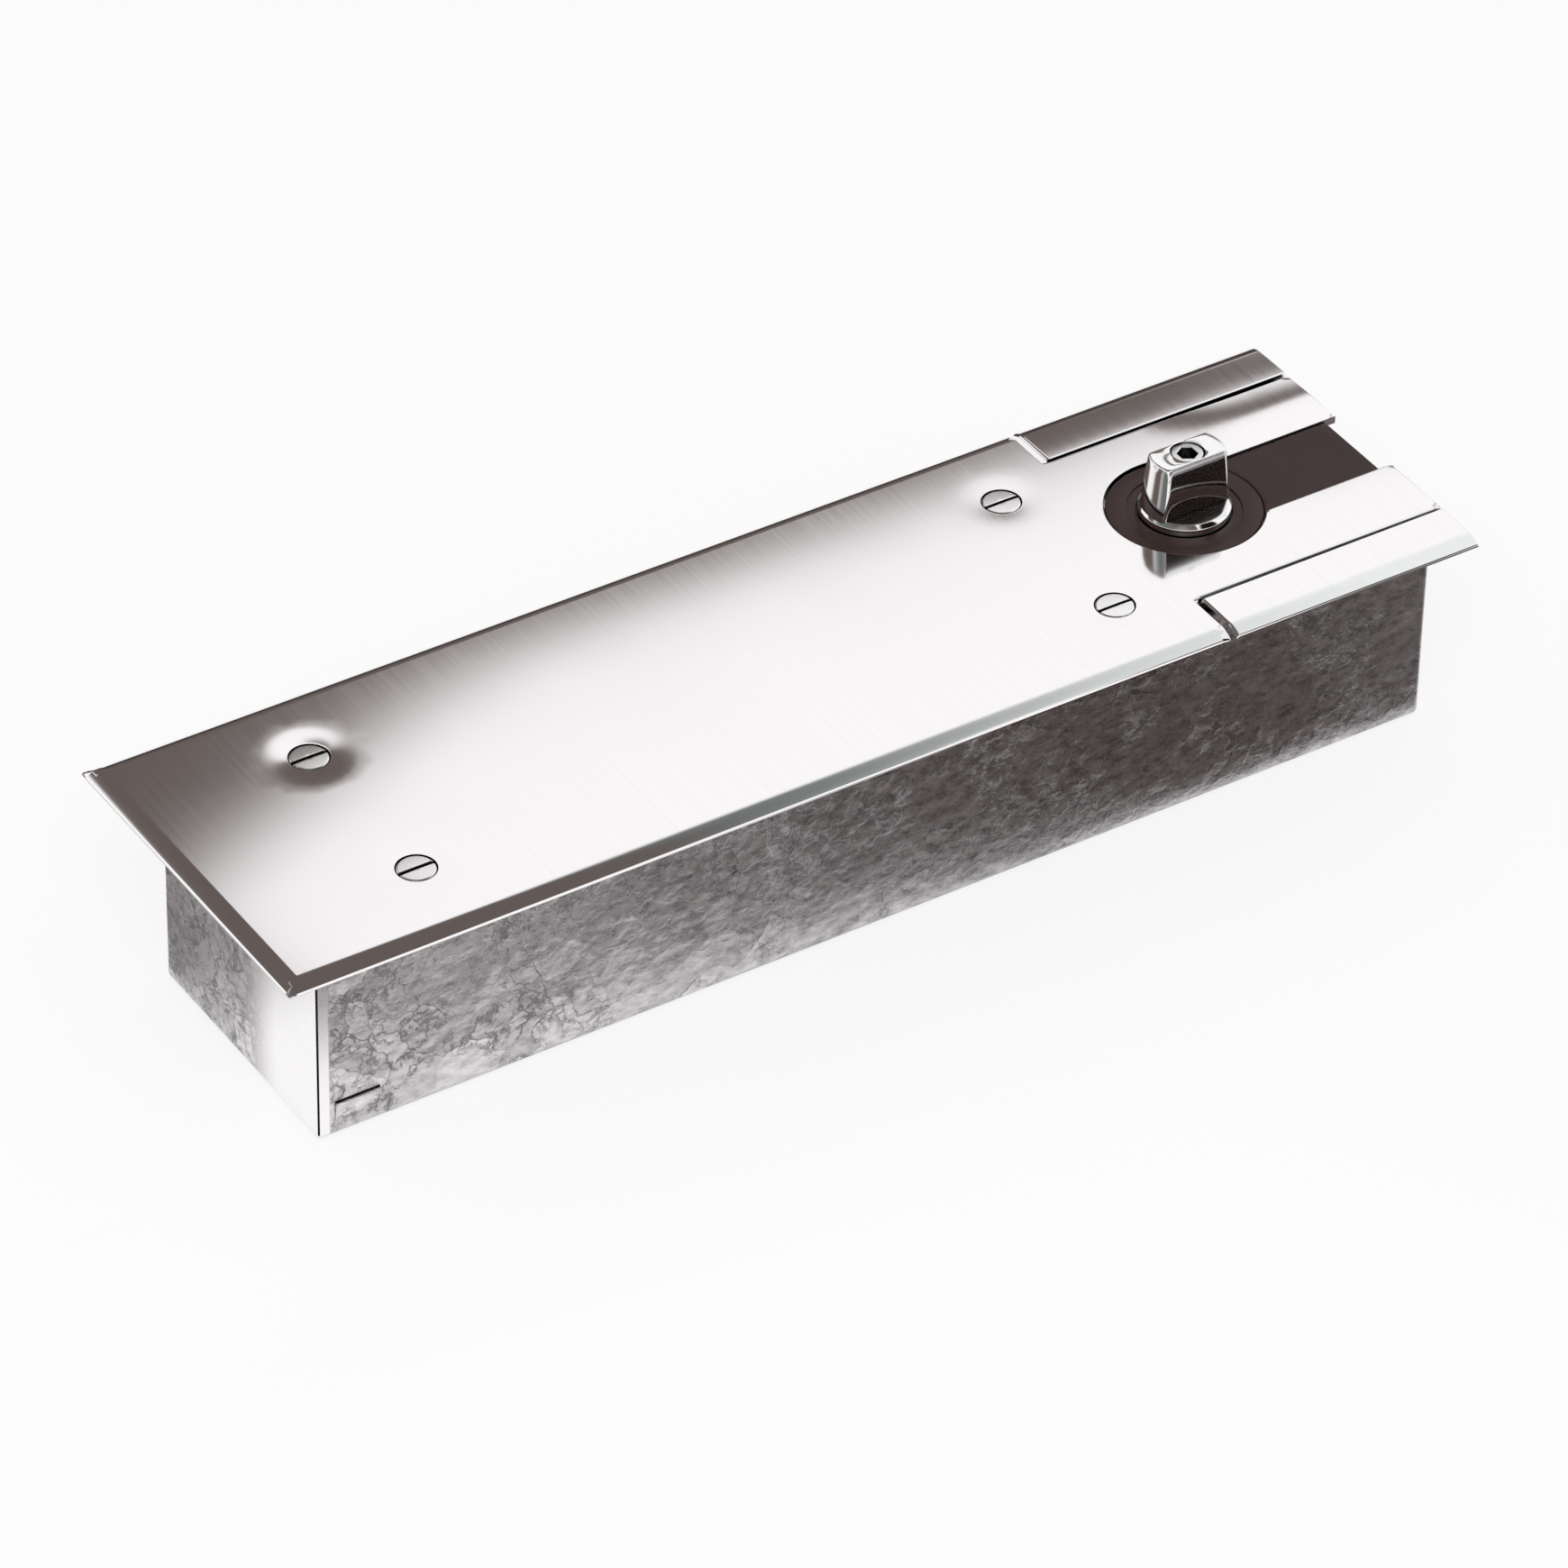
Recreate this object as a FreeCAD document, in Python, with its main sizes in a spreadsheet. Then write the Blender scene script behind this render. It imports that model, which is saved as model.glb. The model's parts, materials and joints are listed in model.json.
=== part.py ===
import FreeCAD, Part
import math
import os
import re
import Sketcher

# A double-action floor spring in its cement box. Millimetres, Z up, X along the box, origin under
# the middle of the cover plate at the underside of the box. The spindle stands near the +X end.

# Driving dimensions
SIZES = {
    # Cover plate and its rolled rim
    "cover_length": 361.0,
    "cover_width": 105.0,
    "cover_thickness": 2.5,
    "cover_lift": 1.8,
    "rim_width": 4.2,
    "rim_drop": 1.5,
    "spindle_inset": 58.0,
    # Cement box, folded from sheet
    "box_length": 341.0,
    "box_wall": 1.5,
    "box_end_overhang": 4.9,
    "box_bend_radius": 2.0,
    "box_foot_radius": 1.5,
    "seam_gap": 0.6,
    "seam_depth": 1.5,
    "tab_length": 13.1,
    "tab_height": 5.8,
    "tab_foot": 5.0,
    "tab_set": 0.9,
    "tab_to_end": 4.9,
    # Side strips, their carriers and the slot behind the spindle
    "strip_length": 77.5,
    "strip_width": 16.4,
    "strip_seam": 0.8,
    "strip_end_gap": 2.0,
    "strip_crown": 0.35,
    "finger_round": 0.8,
    "carrier_thickness": 1.5,
    "carrier_grip": 5.0,
    "carrier_margin": 3.0,
    "slot_width": 25.6,
    "slot_insert_gap": 0.2,
    "slot_insert_recess": 0.8,
    "slot_insert_end_gap": 3.5,
    "slot_flange": 3.2,
    "slot_flange_start": 26.0,
    # Disc about the spindle
    "disc_radius": 21.0,
    "disc_gap": 0.6,
    "disc_recess": 0.8,
    "disc_thickness": 2.0,
    "disc_step_radius": 15.5,
    "disc_step_depth": 0.4,
    # Cover screws
    "cover_screw_to_housing_end": 21.0,
    "cover_screw_out": 0.6,
    "cover_screw_to_spindle": 40.3,
    "cover_screw_radius": 3.0,
    "cover_screw_head_radius": 5.2,
    "cover_screw_head_crown": 0.9,
    "cover_screw_length": 14.0,
    "cover_screw_slot": 1.4,
    "cover_screw_slot_depth": 1.4,
    "dish_radius": 11.0,
    "dish_depth": 0.6,
    # Closer housing
    "housing_end_gap": 13.9,
    "housing_side_gap": 11.5,
    "housing_past_spindle": 44.5,
    "housing_lift": 2.5,
    "housing_corner": 6.0,
    "bore_height": 31.0,
    "piston_bore_radius": 17.0,
    "spring_bore_radius": 18.0,
    "top_wall": 6.0,
    "end_wall": 4.0,
    "side_wall": 8.0,
    "spindle_boss_radius": 24.0,
    "screw_boss_radius": 6.5,
    "screw_boss_foot": 30.0,
    "screw_boss_chamfer": 0.8,
    "ear_inset": 8.0,
    "ear_to_spindle": 27.5,
    "ear_length": 16.0,
    "ear_reach": 10.8,
    "ear_foot": 28.0,
    "ear_thickness": 6.0,
    # Studs that carry the housing by its ears
    "stud_radius": 3.0,
    "stud_out": 5.5,
    "stud_end": 4.8,
    "stud_pad_radius": 5.5,
    "stud_pad_height": 2.0,
    "nut_width": 10.0,
    "nut_height": 5.0,
    "washer_radius": 5.2,
    "washer_height": 1.2,
    # Spindle shaft and its pinion
    "gear_module": 1.5,
    "pressure_angle": 20.0,
    "profile_shift": 0.45,
    "pinion_tip_share": 0.75,
    "gear_face": 24.0,
    "gear_clearance": 0.375,
    "gear_backlash": 0.12,
    "shaft_neck_radius": 8.0,
    "shaft_collar_radius": 11.2,
    "shaft_collar_height": 1.4,
    "shaft_top_gap": 1.0,
    "drive_square": 11.0,
    "drive_depth": 12.0,
    # Exchangeable flat-conical spindle piece and its screw
    "collar_radius": 12.5,
    "collar_rise": 2.8,
    "spindle_rise": 15.7,
    "collar_chamfer": 0.5,
    "cone_foot_radius": 12.0,
    "cone_top_radius": 10.4,
    "flat_foot_half": 5.6,
    "flat_top_half": 4.6,
    "spindle_screw_radius": 3.0,
    "spindle_screw_head_radius": 4.3,
    "spindle_screw_head_height": 6.0,
    "spindle_screw_recess": 0.4,
    "spindle_screw_depth": 23.0,
    "hex_socket": 5.0,
    "hex_depth": 3.5,
    # Ball bearings
    "upper_bearing_bore": 10.0,
    "upper_bearing_outer": 16.0,
    "upper_bearing_width": 7.0,
    "upper_ball_radius": 1.75,
    "upper_bearing_shoulder": 2.0,
    "lower_bearing_bore": 6.0,
    "lower_bearing_outer": 13.0,
    "lower_bearing_width": 7.2,
    "lower_ball_radius": 2.25,
    "lower_bearing_floor": 2.0,
    "lower_neck_step": 1.1,
    "ring_offset": 0.4,
    "ring_land": 0.75,
    "race_clearance": 0.05,
    "cage_gap": 0.15,
    "cage_wall": 1.4,
    "cage_edge": 0.7,
    # Bearing cap and shaft seal
    "cap_radius": 23.0,
    "cap_height": 4.5,
    "cap_lip": 1.0,
    "seal_radius": 15.0,
    "seal_gap": 0.5,
    "cap_screw_circle": 19.0,
    "cap_screw_radius": 1.5,
    "cap_screw_head_radius": 3.0,
    "cap_screw_length": 10.0,
    # Rack piston
    "piston_length": 28.0,
    "piston_to_spindle": 28.0,
    "rack_past_spindle": 22.0,
    "rack_to_piston": 3.0,
    "rack_tip_relief": 0.3,
    "piston_ring_inset": 6.0,
    "piston_ring_width": 3.0,
    "piston_ring_depth": 1.8,
    "check_radius": 2.6,
    "check_port_radius": 1.2,
    "check_ball_radius": 2.2,
    "check_depth": 9.5,
    "check_cap_height": 3.0,
    "check_out": 9.5,
    "check_up": 5.5,
    # Rod, spring head and the two return springs
    "rod_radius": 6.0,
    "rod_grip": 10.0,
    "rod_end_radius": 4.0,
    "rod_end_spare": 2.0,
    "rod_nut_width": 13.0,
    "rod_nut_height": 6.5,
    "head_gap": 0.3,
    "head_thickness": 10.0,
    "head_spigot_radius": 9.5,
    "head_spigot_height": 4.0,
    "head_port_radius": 3.0,
    "seat_thickness": 4.0,
    "seat_to_piston": 20.5,
    "spring_wire_radius": 3.0,
    "spring_side_gap": 1.5,
    "spring_turns": 9.0,
    "spring_free_play": 0.05,
    # End plug
    "plug_depth": 14.0,
    "plug_flange_width": 3.0,
    "plug_flange_height": 3.0,
    "plug_groove_inset": 4.0,
    "plug_ring_radius": 1.0,
    "plug_pin_hole_radius": 1.9,
    "plug_pin_hole_depth": 6.0,
    "plug_pin_hole_out": 12.0,
    # Speed valves
    "valve_to_spindle": 62.5,
    "valve_inset": 5.0,
    "valve_head_radius": 3.4,
    "valve_head_height": 10.0,
    "valve_needle_radius": 2.0,
    "valve_needle_length": 11.0,
    "valve_slot": 1.2,
    "valve_slot_depth": 1.5,
    "valve_ring_radius": 0.48,
    "valve_ring_down": 5.0,
    "valve_port_radius": 1.0,
    # Fits
    "running_gap": 0.05,
    "thread_gap": 0.1,
    "turning_gap": 0.3,
    "valve_gap": 0.08,
    "bolt_gap": 0.4,
}

PINION_TEETH = 10
FREE_TEETH = f"({PINION_TEETH} / 2 + profile_shift)"

# Sizes that follow from the driving ones: heights stack up from the bore, widths out from it
FOLLOWING = {
    "cover_top": "bore_height + piston_bore_radius + upper_bearing_shoulder + upper_bearing_width"
    " + cap_height + disc_thickness + disc_recess",
    "box_height": "cover_top - cover_thickness - cover_lift",
    "spindle_top": "cover_top - disc_recess + collar_rise + spindle_rise",
    "stud_top": "ear_foot + ear_thickness + washer_height + nut_height + stud_end",
    "housing_width": "2 * (spring_bore_radius + side_wall)",
    "box_width": "housing_width + 2 * (housing_side_gap + box_wall)",
    "cover_screw_spacing": "housing_width + 2 * cover_screw_out",
    "stud_spacing": "housing_width + 2 * stud_out",
    "valve_out": "housing_width / 2 - valve_inset",
    "head_radius": "spring_bore_radius - head_gap",
    "spring_radius": "spring_bore_radius - spring_wire_radius - spring_side_gap",
    "plug_flange_radius": "spring_bore_radius + plug_flange_width",
    "pinion_tip_radius": f"gear_module * ({FREE_TEETH} + pinion_tip_share)",
}

# Places worked out from the sizes, as formulas of their names
SPINDLE = "(cover_length / 2 - spindle_inset)"
COVER_BOTTOM = "(cover_top - cover_thickness)"
NOTCH_START = "(cover_length / 2 - strip_length - strip_end_gap)"
FINGER_EDGE = "(cover_width / 2 - strip_width - strip_seam)"
STRIP_START = "(cover_length / 2 - strip_length)"
STRIP_EDGE = "(cover_width / 2 - strip_width)"
DISC_TOP = "(cover_top - disc_recess)"
CAP_TOP = "(cover_top - disc_recess - disc_thickness)"
BOX_END = "(cover_length / 2 - box_end_overhang)"
BOX_START = "(cover_length / 2 - box_end_overhang - box_length)"
CARRIER_FOOT = "(cover_top - cover_thickness - carrier_thickness)"
DISH_FLOOR = "(cover_top - dish_depth)"
SCREW_RIGHT = "(cover_length / 2 - spindle_inset - cover_screw_to_spindle)"
HOUSING_START = "(" + BOX_START + " + box_wall + housing_end_gap)"
SCREW_LEFT = "(" + HOUSING_START + " + cover_screw_to_housing_end)"
HOUSING_END = "(cover_length / 2 - spindle_inset + housing_past_spindle)"
HOUSING_FOOT = "(box_wall + housing_lift)"
HOUSING_TOP = "(bore_height + piston_bore_radius + top_wall)"
BEARING_SEAT = "(bore_height + piston_bore_radius + upper_bearing_shoulder)"
BOSS_TOP = "(bore_height + piston_bore_radius + upper_bearing_shoulder + upper_bearing_width)"
LOWER_SEAT = "(box_wall + housing_lift + lower_bearing_floor)"
EAR_LEFT = "(" + HOUSING_START + " + ear_inset)"
EAR_RIGHT = "(cover_length / 2 - spindle_inset + ear_to_spindle)"
EAR_TOP = "(ear_foot + ear_thickness)"
SHAFT_TOP = "(cover_top - disc_recess - shaft_top_gap)"
COLLAR_TOP = "(cover_top - disc_recess + collar_rise)"
SPINDLE_SCREW_TOP = "(spindle_top - spindle_screw_recess)"
SPINDLE_SCREW_SEAT = "(spindle_top - spindle_screw_recess - spindle_screw_head_height)"
PISTON_END = "(cover_length / 2 - spindle_inset - piston_to_spindle)"
PISTON_START = "(cover_length / 2 - spindle_inset - piston_to_spindle - piston_length)"
RACK_END = "(cover_length / 2 - spindle_inset + rack_past_spindle)"
RACK_LINE = f"(gear_module * {FREE_TEETH})"
RACK_TIP = f"(gear_module * ({FREE_TEETH} - 1))"
RACK_ROOT = "(pinion_tip_radius + gear_clearance)"
SEAT_END = "(cover_length / 2 - spindle_inset - piston_to_spindle - piston_length - seat_to_piston)"
SEAT_START = "(" + SEAT_END + " - seat_thickness)"
PLUG_FACE = "(" + HOUSING_START + " + plug_depth)"
HEAD_MIDDLE = "((" + SEAT_START + " + " + PLUG_FACE + ") / 2)"
HEAD_START = "(" + HEAD_MIDDLE + " - head_thickness / 2)"
HEAD_END = "(" + HEAD_MIDDLE + " + head_thickness / 2)"
VALVE_X = "(cover_length / 2 - spindle_inset - valve_to_spindle)"
VALVE_NECK = "(bore_height + piston_bore_radius + top_wall - valve_head_height)"

X_AXIS = FreeCAD.Vector(1, 0, 0)
Y_AXIS = FreeCAD.Vector(0, 1, 0)
Z_AXIS = FreeCAD.Vector(0, 0, 1)
TURN_TO = {
    "x": FreeCAD.Rotation(Y_AXIS, 90),
    "y": FreeCAD.Rotation(X_AXIS, -90),
    "z": FreeCAD.Rotation(),
}
SIDES = {"front": "-1", "back": "1"}
OVERCUT = "1"
SIZE_NAME = re.compile(r"[a-z][a-z_]*[a-z]")

doc = FreeCAD.newDocument("floor_spring")
sheet = doc.addObject("Spreadsheet::Sheet", "Sizes")
cells = {alias: str(value) for alias, value in SIZES.items()}
cells.update({alias: "=" + text for alias, text in FOLLOWING.items()})
for row, (alias, content) in enumerate(cells.items(), start=1):
    sheet.set("A" + str(row), alias)
    sheet.set("B" + str(row), content)
    sheet.setAlias("B" + str(row), alias)
doc.recompute()

nodes = []


def size(alias):
    """The number in the sheet's cell."""
    return float(sheet.get(alias))


def formula(text):
    """An expression in which each size name points at its cell."""
    def point_at_cell(found):
        word = found.group()
        return "Sizes." + word if word in cells else word
    return SIZE_NAME.sub(point_at_cell, text)


def bind(piece, **values):
    """Tie properties of a piece to formulas."""
    for name, text in values.items():
        piece.setExpression(name, formula(text))


def place(piece, x="0", y="0", z="0", axis="z"):
    """Turn a piece from Z to an axis and tie its position to formulas."""
    piece.Placement = FreeCAD.Placement(FreeCAD.Vector(), TURN_TO[axis])
    for letter, text in (("x", x), ("y", y), ("z", z)):
        piece.setExpression("Placement.Base." + letter, formula(text))
    return piece


def node(piece):
    """Keep a finished piece under its own name."""
    nodes.append(piece)
    return piece


# Solids with straight and round walls

def block(name, x, y, z):
    """A box between a low and a high formula along each axis."""
    piece = doc.addObject("Part::Box", name)
    bind(
        piece,
        Length=f"({x[1]}) - ({x[0]})",
        Width=f"({y[1]}) - ({y[0]})",
        Height=f"({z[1]}) - ({z[0]})",
    )
    return place(piece, x[0], y[0], z[0])


def start_point(low, centre, axis):
    """Where a round piece starts, from its low end and the two other coordinates."""
    if axis == "x":
        return low, centre[0], centre[1]
    if axis == "y":
        return centre[0], low, centre[1]
    return centre[0], centre[1], low


def bar(name, radius, low, high, centre=(SPINDLE, "0"), axis="z"):
    """A round bar from low to high along an axis."""
    piece = doc.addObject("Part::Cylinder", name)
    bind(piece, Radius=radius, Height=f"({high}) - ({low})")
    return place(piece, *start_point(low, centre, axis), axis)


def spoke(name, radius, low, high, angle, height):
    """A round bar that points away from the spindle axis at an angle in degrees."""
    piece = doc.addObject("Part::Cylinder", name)
    bind(piece, Radius=radius, Height=f"({high}) - ({low})")
    piece.Placement = FreeCAD.Placement(FreeCAD.Vector(), FreeCAD.Rotation(Z_AXIS, angle) * TURN_TO["x"])
    bind(piece, **{
        "Placement.Base.x": f"{SPINDLE} + ({low}) * cos({angle})",
        "Placement.Base.y": f"({low}) * sin({angle})",
        "Placement.Base.z": height,
    })
    return piece


def taper(name, low_radius, high_radius, low, high, centre=(SPINDLE, "0"), axis="z"):
    """A round bar that changes radius steadily."""
    piece = doc.addObject("Part::Cone", name)
    bind(piece, Radius1=low_radius, Radius2=high_radius, Height=f"({high}) - ({low})")
    return place(piece, *start_point(low, centre, axis), axis)


def hexagon(name, width, low, high, centre, axis="z"):
    """A hexagonal bar, its width measured over two flats."""
    piece = doc.addObject("Part::Prism", name)
    piece.Polygon = 6
    bind(piece, Circumradius=f"({width}) / sqrt(3)", Height=f"({high}) - ({low})")
    return place(piece, *start_point(low, centre, axis), axis)


def ball(name, radius, x, y, z):
    piece = doc.addObject("Part::Sphere", name)
    bind(piece, Radius=radius)
    return place(piece, x, y, z)


def hoop(name, radius, wire_radius, x, y, z, axis="z"):
    """A round ring of round section."""
    piece = doc.addObject("Part::Torus", name)
    bind(piece, Radius1=radius, Radius2=wire_radius)
    return place(piece, x, y, z, axis)


def join(name, *pieces):
    piece = doc.addObject("Part::MultiFuse", name)
    piece.Shapes = list(pieces)
    return piece


def group(name, *pieces):
    """Several separate solids under one name."""
    piece = doc.addObject("Part::Compound", name)
    piece.Links = list(pieces)
    return piece


def cut(name, base, *tools):
    piece = doc.addObject("Part::Cut", name)
    piece.Base = base
    piece.Tool = tools[0] if len(tools) == 1 else join(name + "_removed", *tools)
    return piece


def overlap(name, *pieces):
    piece = doc.addObject("Part::MultiCommon", name)
    piece.Shapes = list(pieces)
    return piece


def tube(name, inner, outer, low, high, centre=(SPINDLE, "0"), axis="z"):
    """A round bar with a hole through it."""
    wall = bar(name + "_wall", outer, low, high, centre, axis)
    hole = bar(name + "_hole", inner, f"{low} - {OVERCUT}", f"{high} + {OVERCUT}", centre, axis)
    return cut(name, wall, hole)


# Solids made from sketches

def new_sketch(body, name, role, offset="0"):
    """A sketch on one of the body's own planes, moved along the plane's normal."""
    plane = next(item for item in body.Origin.OriginFeatures if item.Role == role)
    sketch = body.newObject("Sketcher::SketchObject", name)
    sketch.AttachmentSupport = [(plane, "")]
    sketch.MapMode = "FlatFace"
    sketch.setExpression("AttachmentOffset.Base.z", formula(offset))
    return sketch


def tie(sketch, kind, geometry, point, start, text):
    """A dimension of a sketch tied to a formula."""
    parts = (kind, geometry, start) if point is None else (kind, geometry, point, start)
    number = sketch.addConstraint(Sketcher.Constraint(*parts))
    sketch.setExpression(f"Constraints[{number}]", formula(text))


def draw_outline(sketch, corners):
    """A closed outline of straight lines through corners given as formulas."""
    count = len(corners)
    turn = 2 * math.pi / count
    starts = [FreeCAD.Vector(math.cos(turn * i), math.sin(turn * i), 0) for i in range(count)]
    for i in range(count):
        sketch.addGeometry(Part.LineSegment(starts[i], starts[(i + 1) % count]), False)
    for i in range(count):
        sketch.addConstraint(Sketcher.Constraint("Coincident", i, 2, (i + 1) % count, 1))
    for i, (across, up) in enumerate(corners):
        tie(sketch, "DistanceX", i, 1, starts[i].x, across)
        tie(sketch, "DistanceY", i, 1, starts[i].y, up)


def draw_rectangle(sketch, across, up):
    draw_outline(
        sketch,
        [(across[0], up[0]), (across[1], up[0]), (across[1], up[1]), (across[0], up[1])],
    )


def draw_circle(sketch, radius, across="0", up="0"):
    sketch.addGeometry(Part.Circle(FreeCAD.Vector(1, 1, 0), Z_AXIS, 1), False)
    tie(sketch, "DistanceX", 0, 3, 1, across)
    tie(sketch, "DistanceY", 0, 3, 1, up)
    tie(sketch, "Radius", 0, None, 1, radius)


def pad(body, sketch, length, symmetric=False):
    feature = body.newObject("PartDesign::Pad", sketch.Name + "_pad")
    feature.Profile = sketch
    feature.SideType = "Symmetric" if symmetric else "One side"
    bind(feature, Length=length)
    doc.recompute()
    return feature


def pocket(body, sketch, length, symmetric=False, backwards=False):
    """Cut a sketch into a body, and make sure that it met the solid."""
    before = body.Shape.Volume
    feature = body.newObject("PartDesign::Pocket", sketch.Name + "_pocket")
    feature.Profile = sketch
    feature.SideType = "Symmetric" if symmetric else "One side"
    feature.Reversed = backwards
    bind(feature, Length=length)
    doc.recompute()
    if body.Shape.Volume >= before:
        raise RuntimeError(sketch.Name + " cuts nothing")
    return feature


def edges_where(shape, wanted):
    """Names of the straight or round edges whose bounding box passes a test."""
    return [f"Edge{i}" for i, edge in enumerate(shape.Edges, start=1) if wanted(edge.BoundBox)]


def round_edges(body, name, radius, wanted):
    names = edges_where(body.Tip.Shape, wanted)
    feature = body.newObject("PartDesign::Fillet", name)
    feature.Base = (body.Group[-2], names)
    bind(feature, Radius=radius)
    doc.recompute()
    return feature


def near(value, target):
    return abs(value - target) < 1e-4


# Cover plate

RIM_STEPS = 4
DISH_SPHERE = "((dish_radius ^ 2 + dish_depth ^ 2) / (2 * dish_depth))"


def rim_section(edge, direction):
    """Corners of what the rolled rim leaves off, along a level coordinate and the height."""
    corners = []
    for step in range(RIM_STEPS + 1):
        share = step / RIM_STEPS
        corners.append((
            f"{edge} - ({direction}) * rim_width * {1 - share}",
            f"cover_top - rim_drop * {share ** 2}",
        ))
    beyond = f"{edge} + ({direction}) * {OVERCUT}"
    corners.append((beyond, "cover_top - rim_drop"))
    corners.append((beyond, f"cover_top + {OVERCUT}"))
    corners.append((f"{edge} - ({direction}) * rim_width", f"cover_top + {OVERCUT}"))
    return corners


def screw_places():
    """Name and place of each cover screw."""
    for end, x in (("left", SCREW_LEFT), ("right", SCREW_RIGHT)):
        for side, sign in SIDES.items():
            yield f"{side}_{end}", x, f"{sign} * cover_screw_spacing / 2"


def make_cover_plate():
    body = doc.addObject("PartDesign::Body", "cover_sheet")
    end = "cover_length / 2"
    half = "cover_width / 2"
    slot = "slot_width / 2"
    outline = new_sketch(body, "cover_outline", "XY_Plane", COVER_BOTTOM)
    front = [
        ("-cover_length / 2", "-cover_width / 2"),
        (NOTCH_START, "-cover_width / 2"),
        (NOTCH_START, f"0 - {FINGER_EDGE}"),
        (end, f"0 - {FINGER_EDGE}"),
        (end, "-slot_width / 2"),
        (SPINDLE, "-slot_width / 2"),
    ]
    back = [
        (SPINDLE, slot),
        (end, slot),
        (end, FINGER_EDGE),
        (NOTCH_START, FINGER_EDGE),
        (NOTCH_START, half),
        ("-cover_length / 2", half),
    ]
    draw_outline(outline, front + back)
    pad(body, outline, "cover_thickness")
    finger = size("cover_width") / 2 - size("strip_width") - size("strip_seam")
    top = size("cover_top")
    round_edges(
        body,
        "finger_rounds",
        "finger_round",
        lambda box: near(box.ZMin, top) and near(abs(box.YMin), finger) and near(box.YMin, box.YMax),
    )
    hole = new_sketch(body, "cover_disc_hole", "XY_Plane", "cover_top")
    draw_circle(hole, "disc_radius + disc_gap", SPINDLE)
    pocket(body, hole, f"cover_thickness + {OVERCUT}")
    for side, sign in SIDES.items():
        rim = new_sketch(body, f"rim_{side}", "YZ_Plane")
        draw_outline(rim, rim_section(f"{sign} * cover_width / 2", sign))
        pocket(body, rim, f"cover_length + {OVERCUT}", symmetric=True)
    rim = new_sketch(body, "rim_left", "XZ_Plane")
    draw_outline(rim, rim_section("-cover_length / 2", "-1"))
    pocket(body, rim, f"cover_width + {OVERCUT}", symmetric=True)
    removed = []
    for place_name, x, y in screw_places():
        removed.append(ball(f"dish_{place_name}", DISH_SPHERE, x, y, f"{DISH_FLOOR} + {DISH_SPHERE}"))
        removed.append(taper(
            f"sink_{place_name}",
            "cover_screw_radius + bolt_gap / 2",
            "cover_screw_head_radius + bolt_gap / 2",
            f"{DISH_FLOOR} - cover_screw_head_radius + cover_screw_radius",
            DISH_FLOOR,
            (x, y),
        ))
        removed.append(bar(
            f"plate_hole_{place_name}",
            "cover_screw_radius + bolt_gap",
            f"{COVER_BOTTOM} - {OVERCUT}",
            f"cover_top + {OVERCUT}",
            (x, y),
        ))
        removed.append(bar(
            f"head_room_{place_name}",
            "cover_screw_head_radius + bolt_gap / 2",
            DISH_FLOOR,
            f"cover_top + {OVERCUT}",
            (x, y),
        ))
    return node(cut("cover_plate", body, *removed))


CROWN_CHORD = "(cover_screw_head_radius ^ 2 + cover_screw_head_crown ^ 2)"
CROWN_SPHERE = "(" + CROWN_CHORD + " / (2 * cover_screw_head_crown))"


def make_cover_screws():
    screws = []
    for place_name, x, y in screw_places():
        at = (x, y)
        cone_foot = f"{DISH_FLOOR} - cover_screw_head_radius + cover_screw_radius"
        crown_top = f"{DISH_FLOOR} + cover_screw_head_crown"
        shank = bar(
            f"shank_{place_name}",
            "cover_screw_radius - thread_gap",
            f"{DISH_FLOOR} - cover_screw_length",
            DISH_FLOOR,
            at,
        )
        head = taper(
            f"head_{place_name}",
            "cover_screw_radius - thread_gap",
            "cover_screw_head_radius - thread_gap",
            cone_foot,
            DISH_FLOOR,
            at,
        )
        crown = overlap(
            f"crown_{place_name}",
            ball(f"crown_ball_{place_name}", CROWN_SPHERE, x, y, f"{crown_top} - {CROWN_SPHERE}"),
            bar(
                f"crown_bar_{place_name}",
                "cover_screw_head_radius - thread_gap",
                DISH_FLOOR,
                crown_top,
                at,
            ),
        )
        slot = block(
            f"slot_{place_name}",
            (f"{x} - cover_screw_head_radius", f"{x} + cover_screw_head_radius"),
            (f"{y} - cover_screw_slot / 2", f"{y} + cover_screw_slot / 2"),
            (f"{crown_top} - cover_screw_slot_depth", f"{crown_top} + {OVERCUT}"),
        )
        solid = join(f"blank_{place_name}", shank, head, crown)
        screws.append(cut(f"cover_screw_{place_name}", solid, slot))
    return node(group("cover_screws", *screws))


# Side strips, their carriers and the black strip in the slot

STRIP_STEPS = 4


def strip_section(sign):
    """Corners of a side strip: crowned between its seam and the rim."""
    flat = "(strip_width - rim_width)"
    corners = [(f"{sign} * {STRIP_EDGE}", COVER_BOTTOM)]
    for step in range(STRIP_STEPS + 1):
        share = step / STRIP_STEPS
        hollow = (2 * share - 1) ** 2
        corners.append((
            f"{sign} * ({STRIP_EDGE} + {flat} * {share})",
            f"cover_top - strip_crown * {hollow}",
        ))
    for step in range(1, RIM_STEPS + 1):
        share = step / RIM_STEPS
        corners.append((
            f"{sign} * (cover_width / 2 - rim_width * {1 - share})",
            f"cover_top - strip_crown - (rim_drop - strip_crown) * {share ** 2}",
        ))
    corners.append((f"{sign} * cover_width / 2", COVER_BOTTOM))
    return corners


def make_side_strip(side):
    sign = SIDES[side]
    body = doc.addObject("PartDesign::Body", f"side_strip_{side}")
    section = new_sketch(body, f"strip_section_{side}", "YZ_Plane", STRIP_START)
    draw_outline(section, strip_section(sign))
    pad(body, section, "strip_length")
    return node(body)


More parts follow.
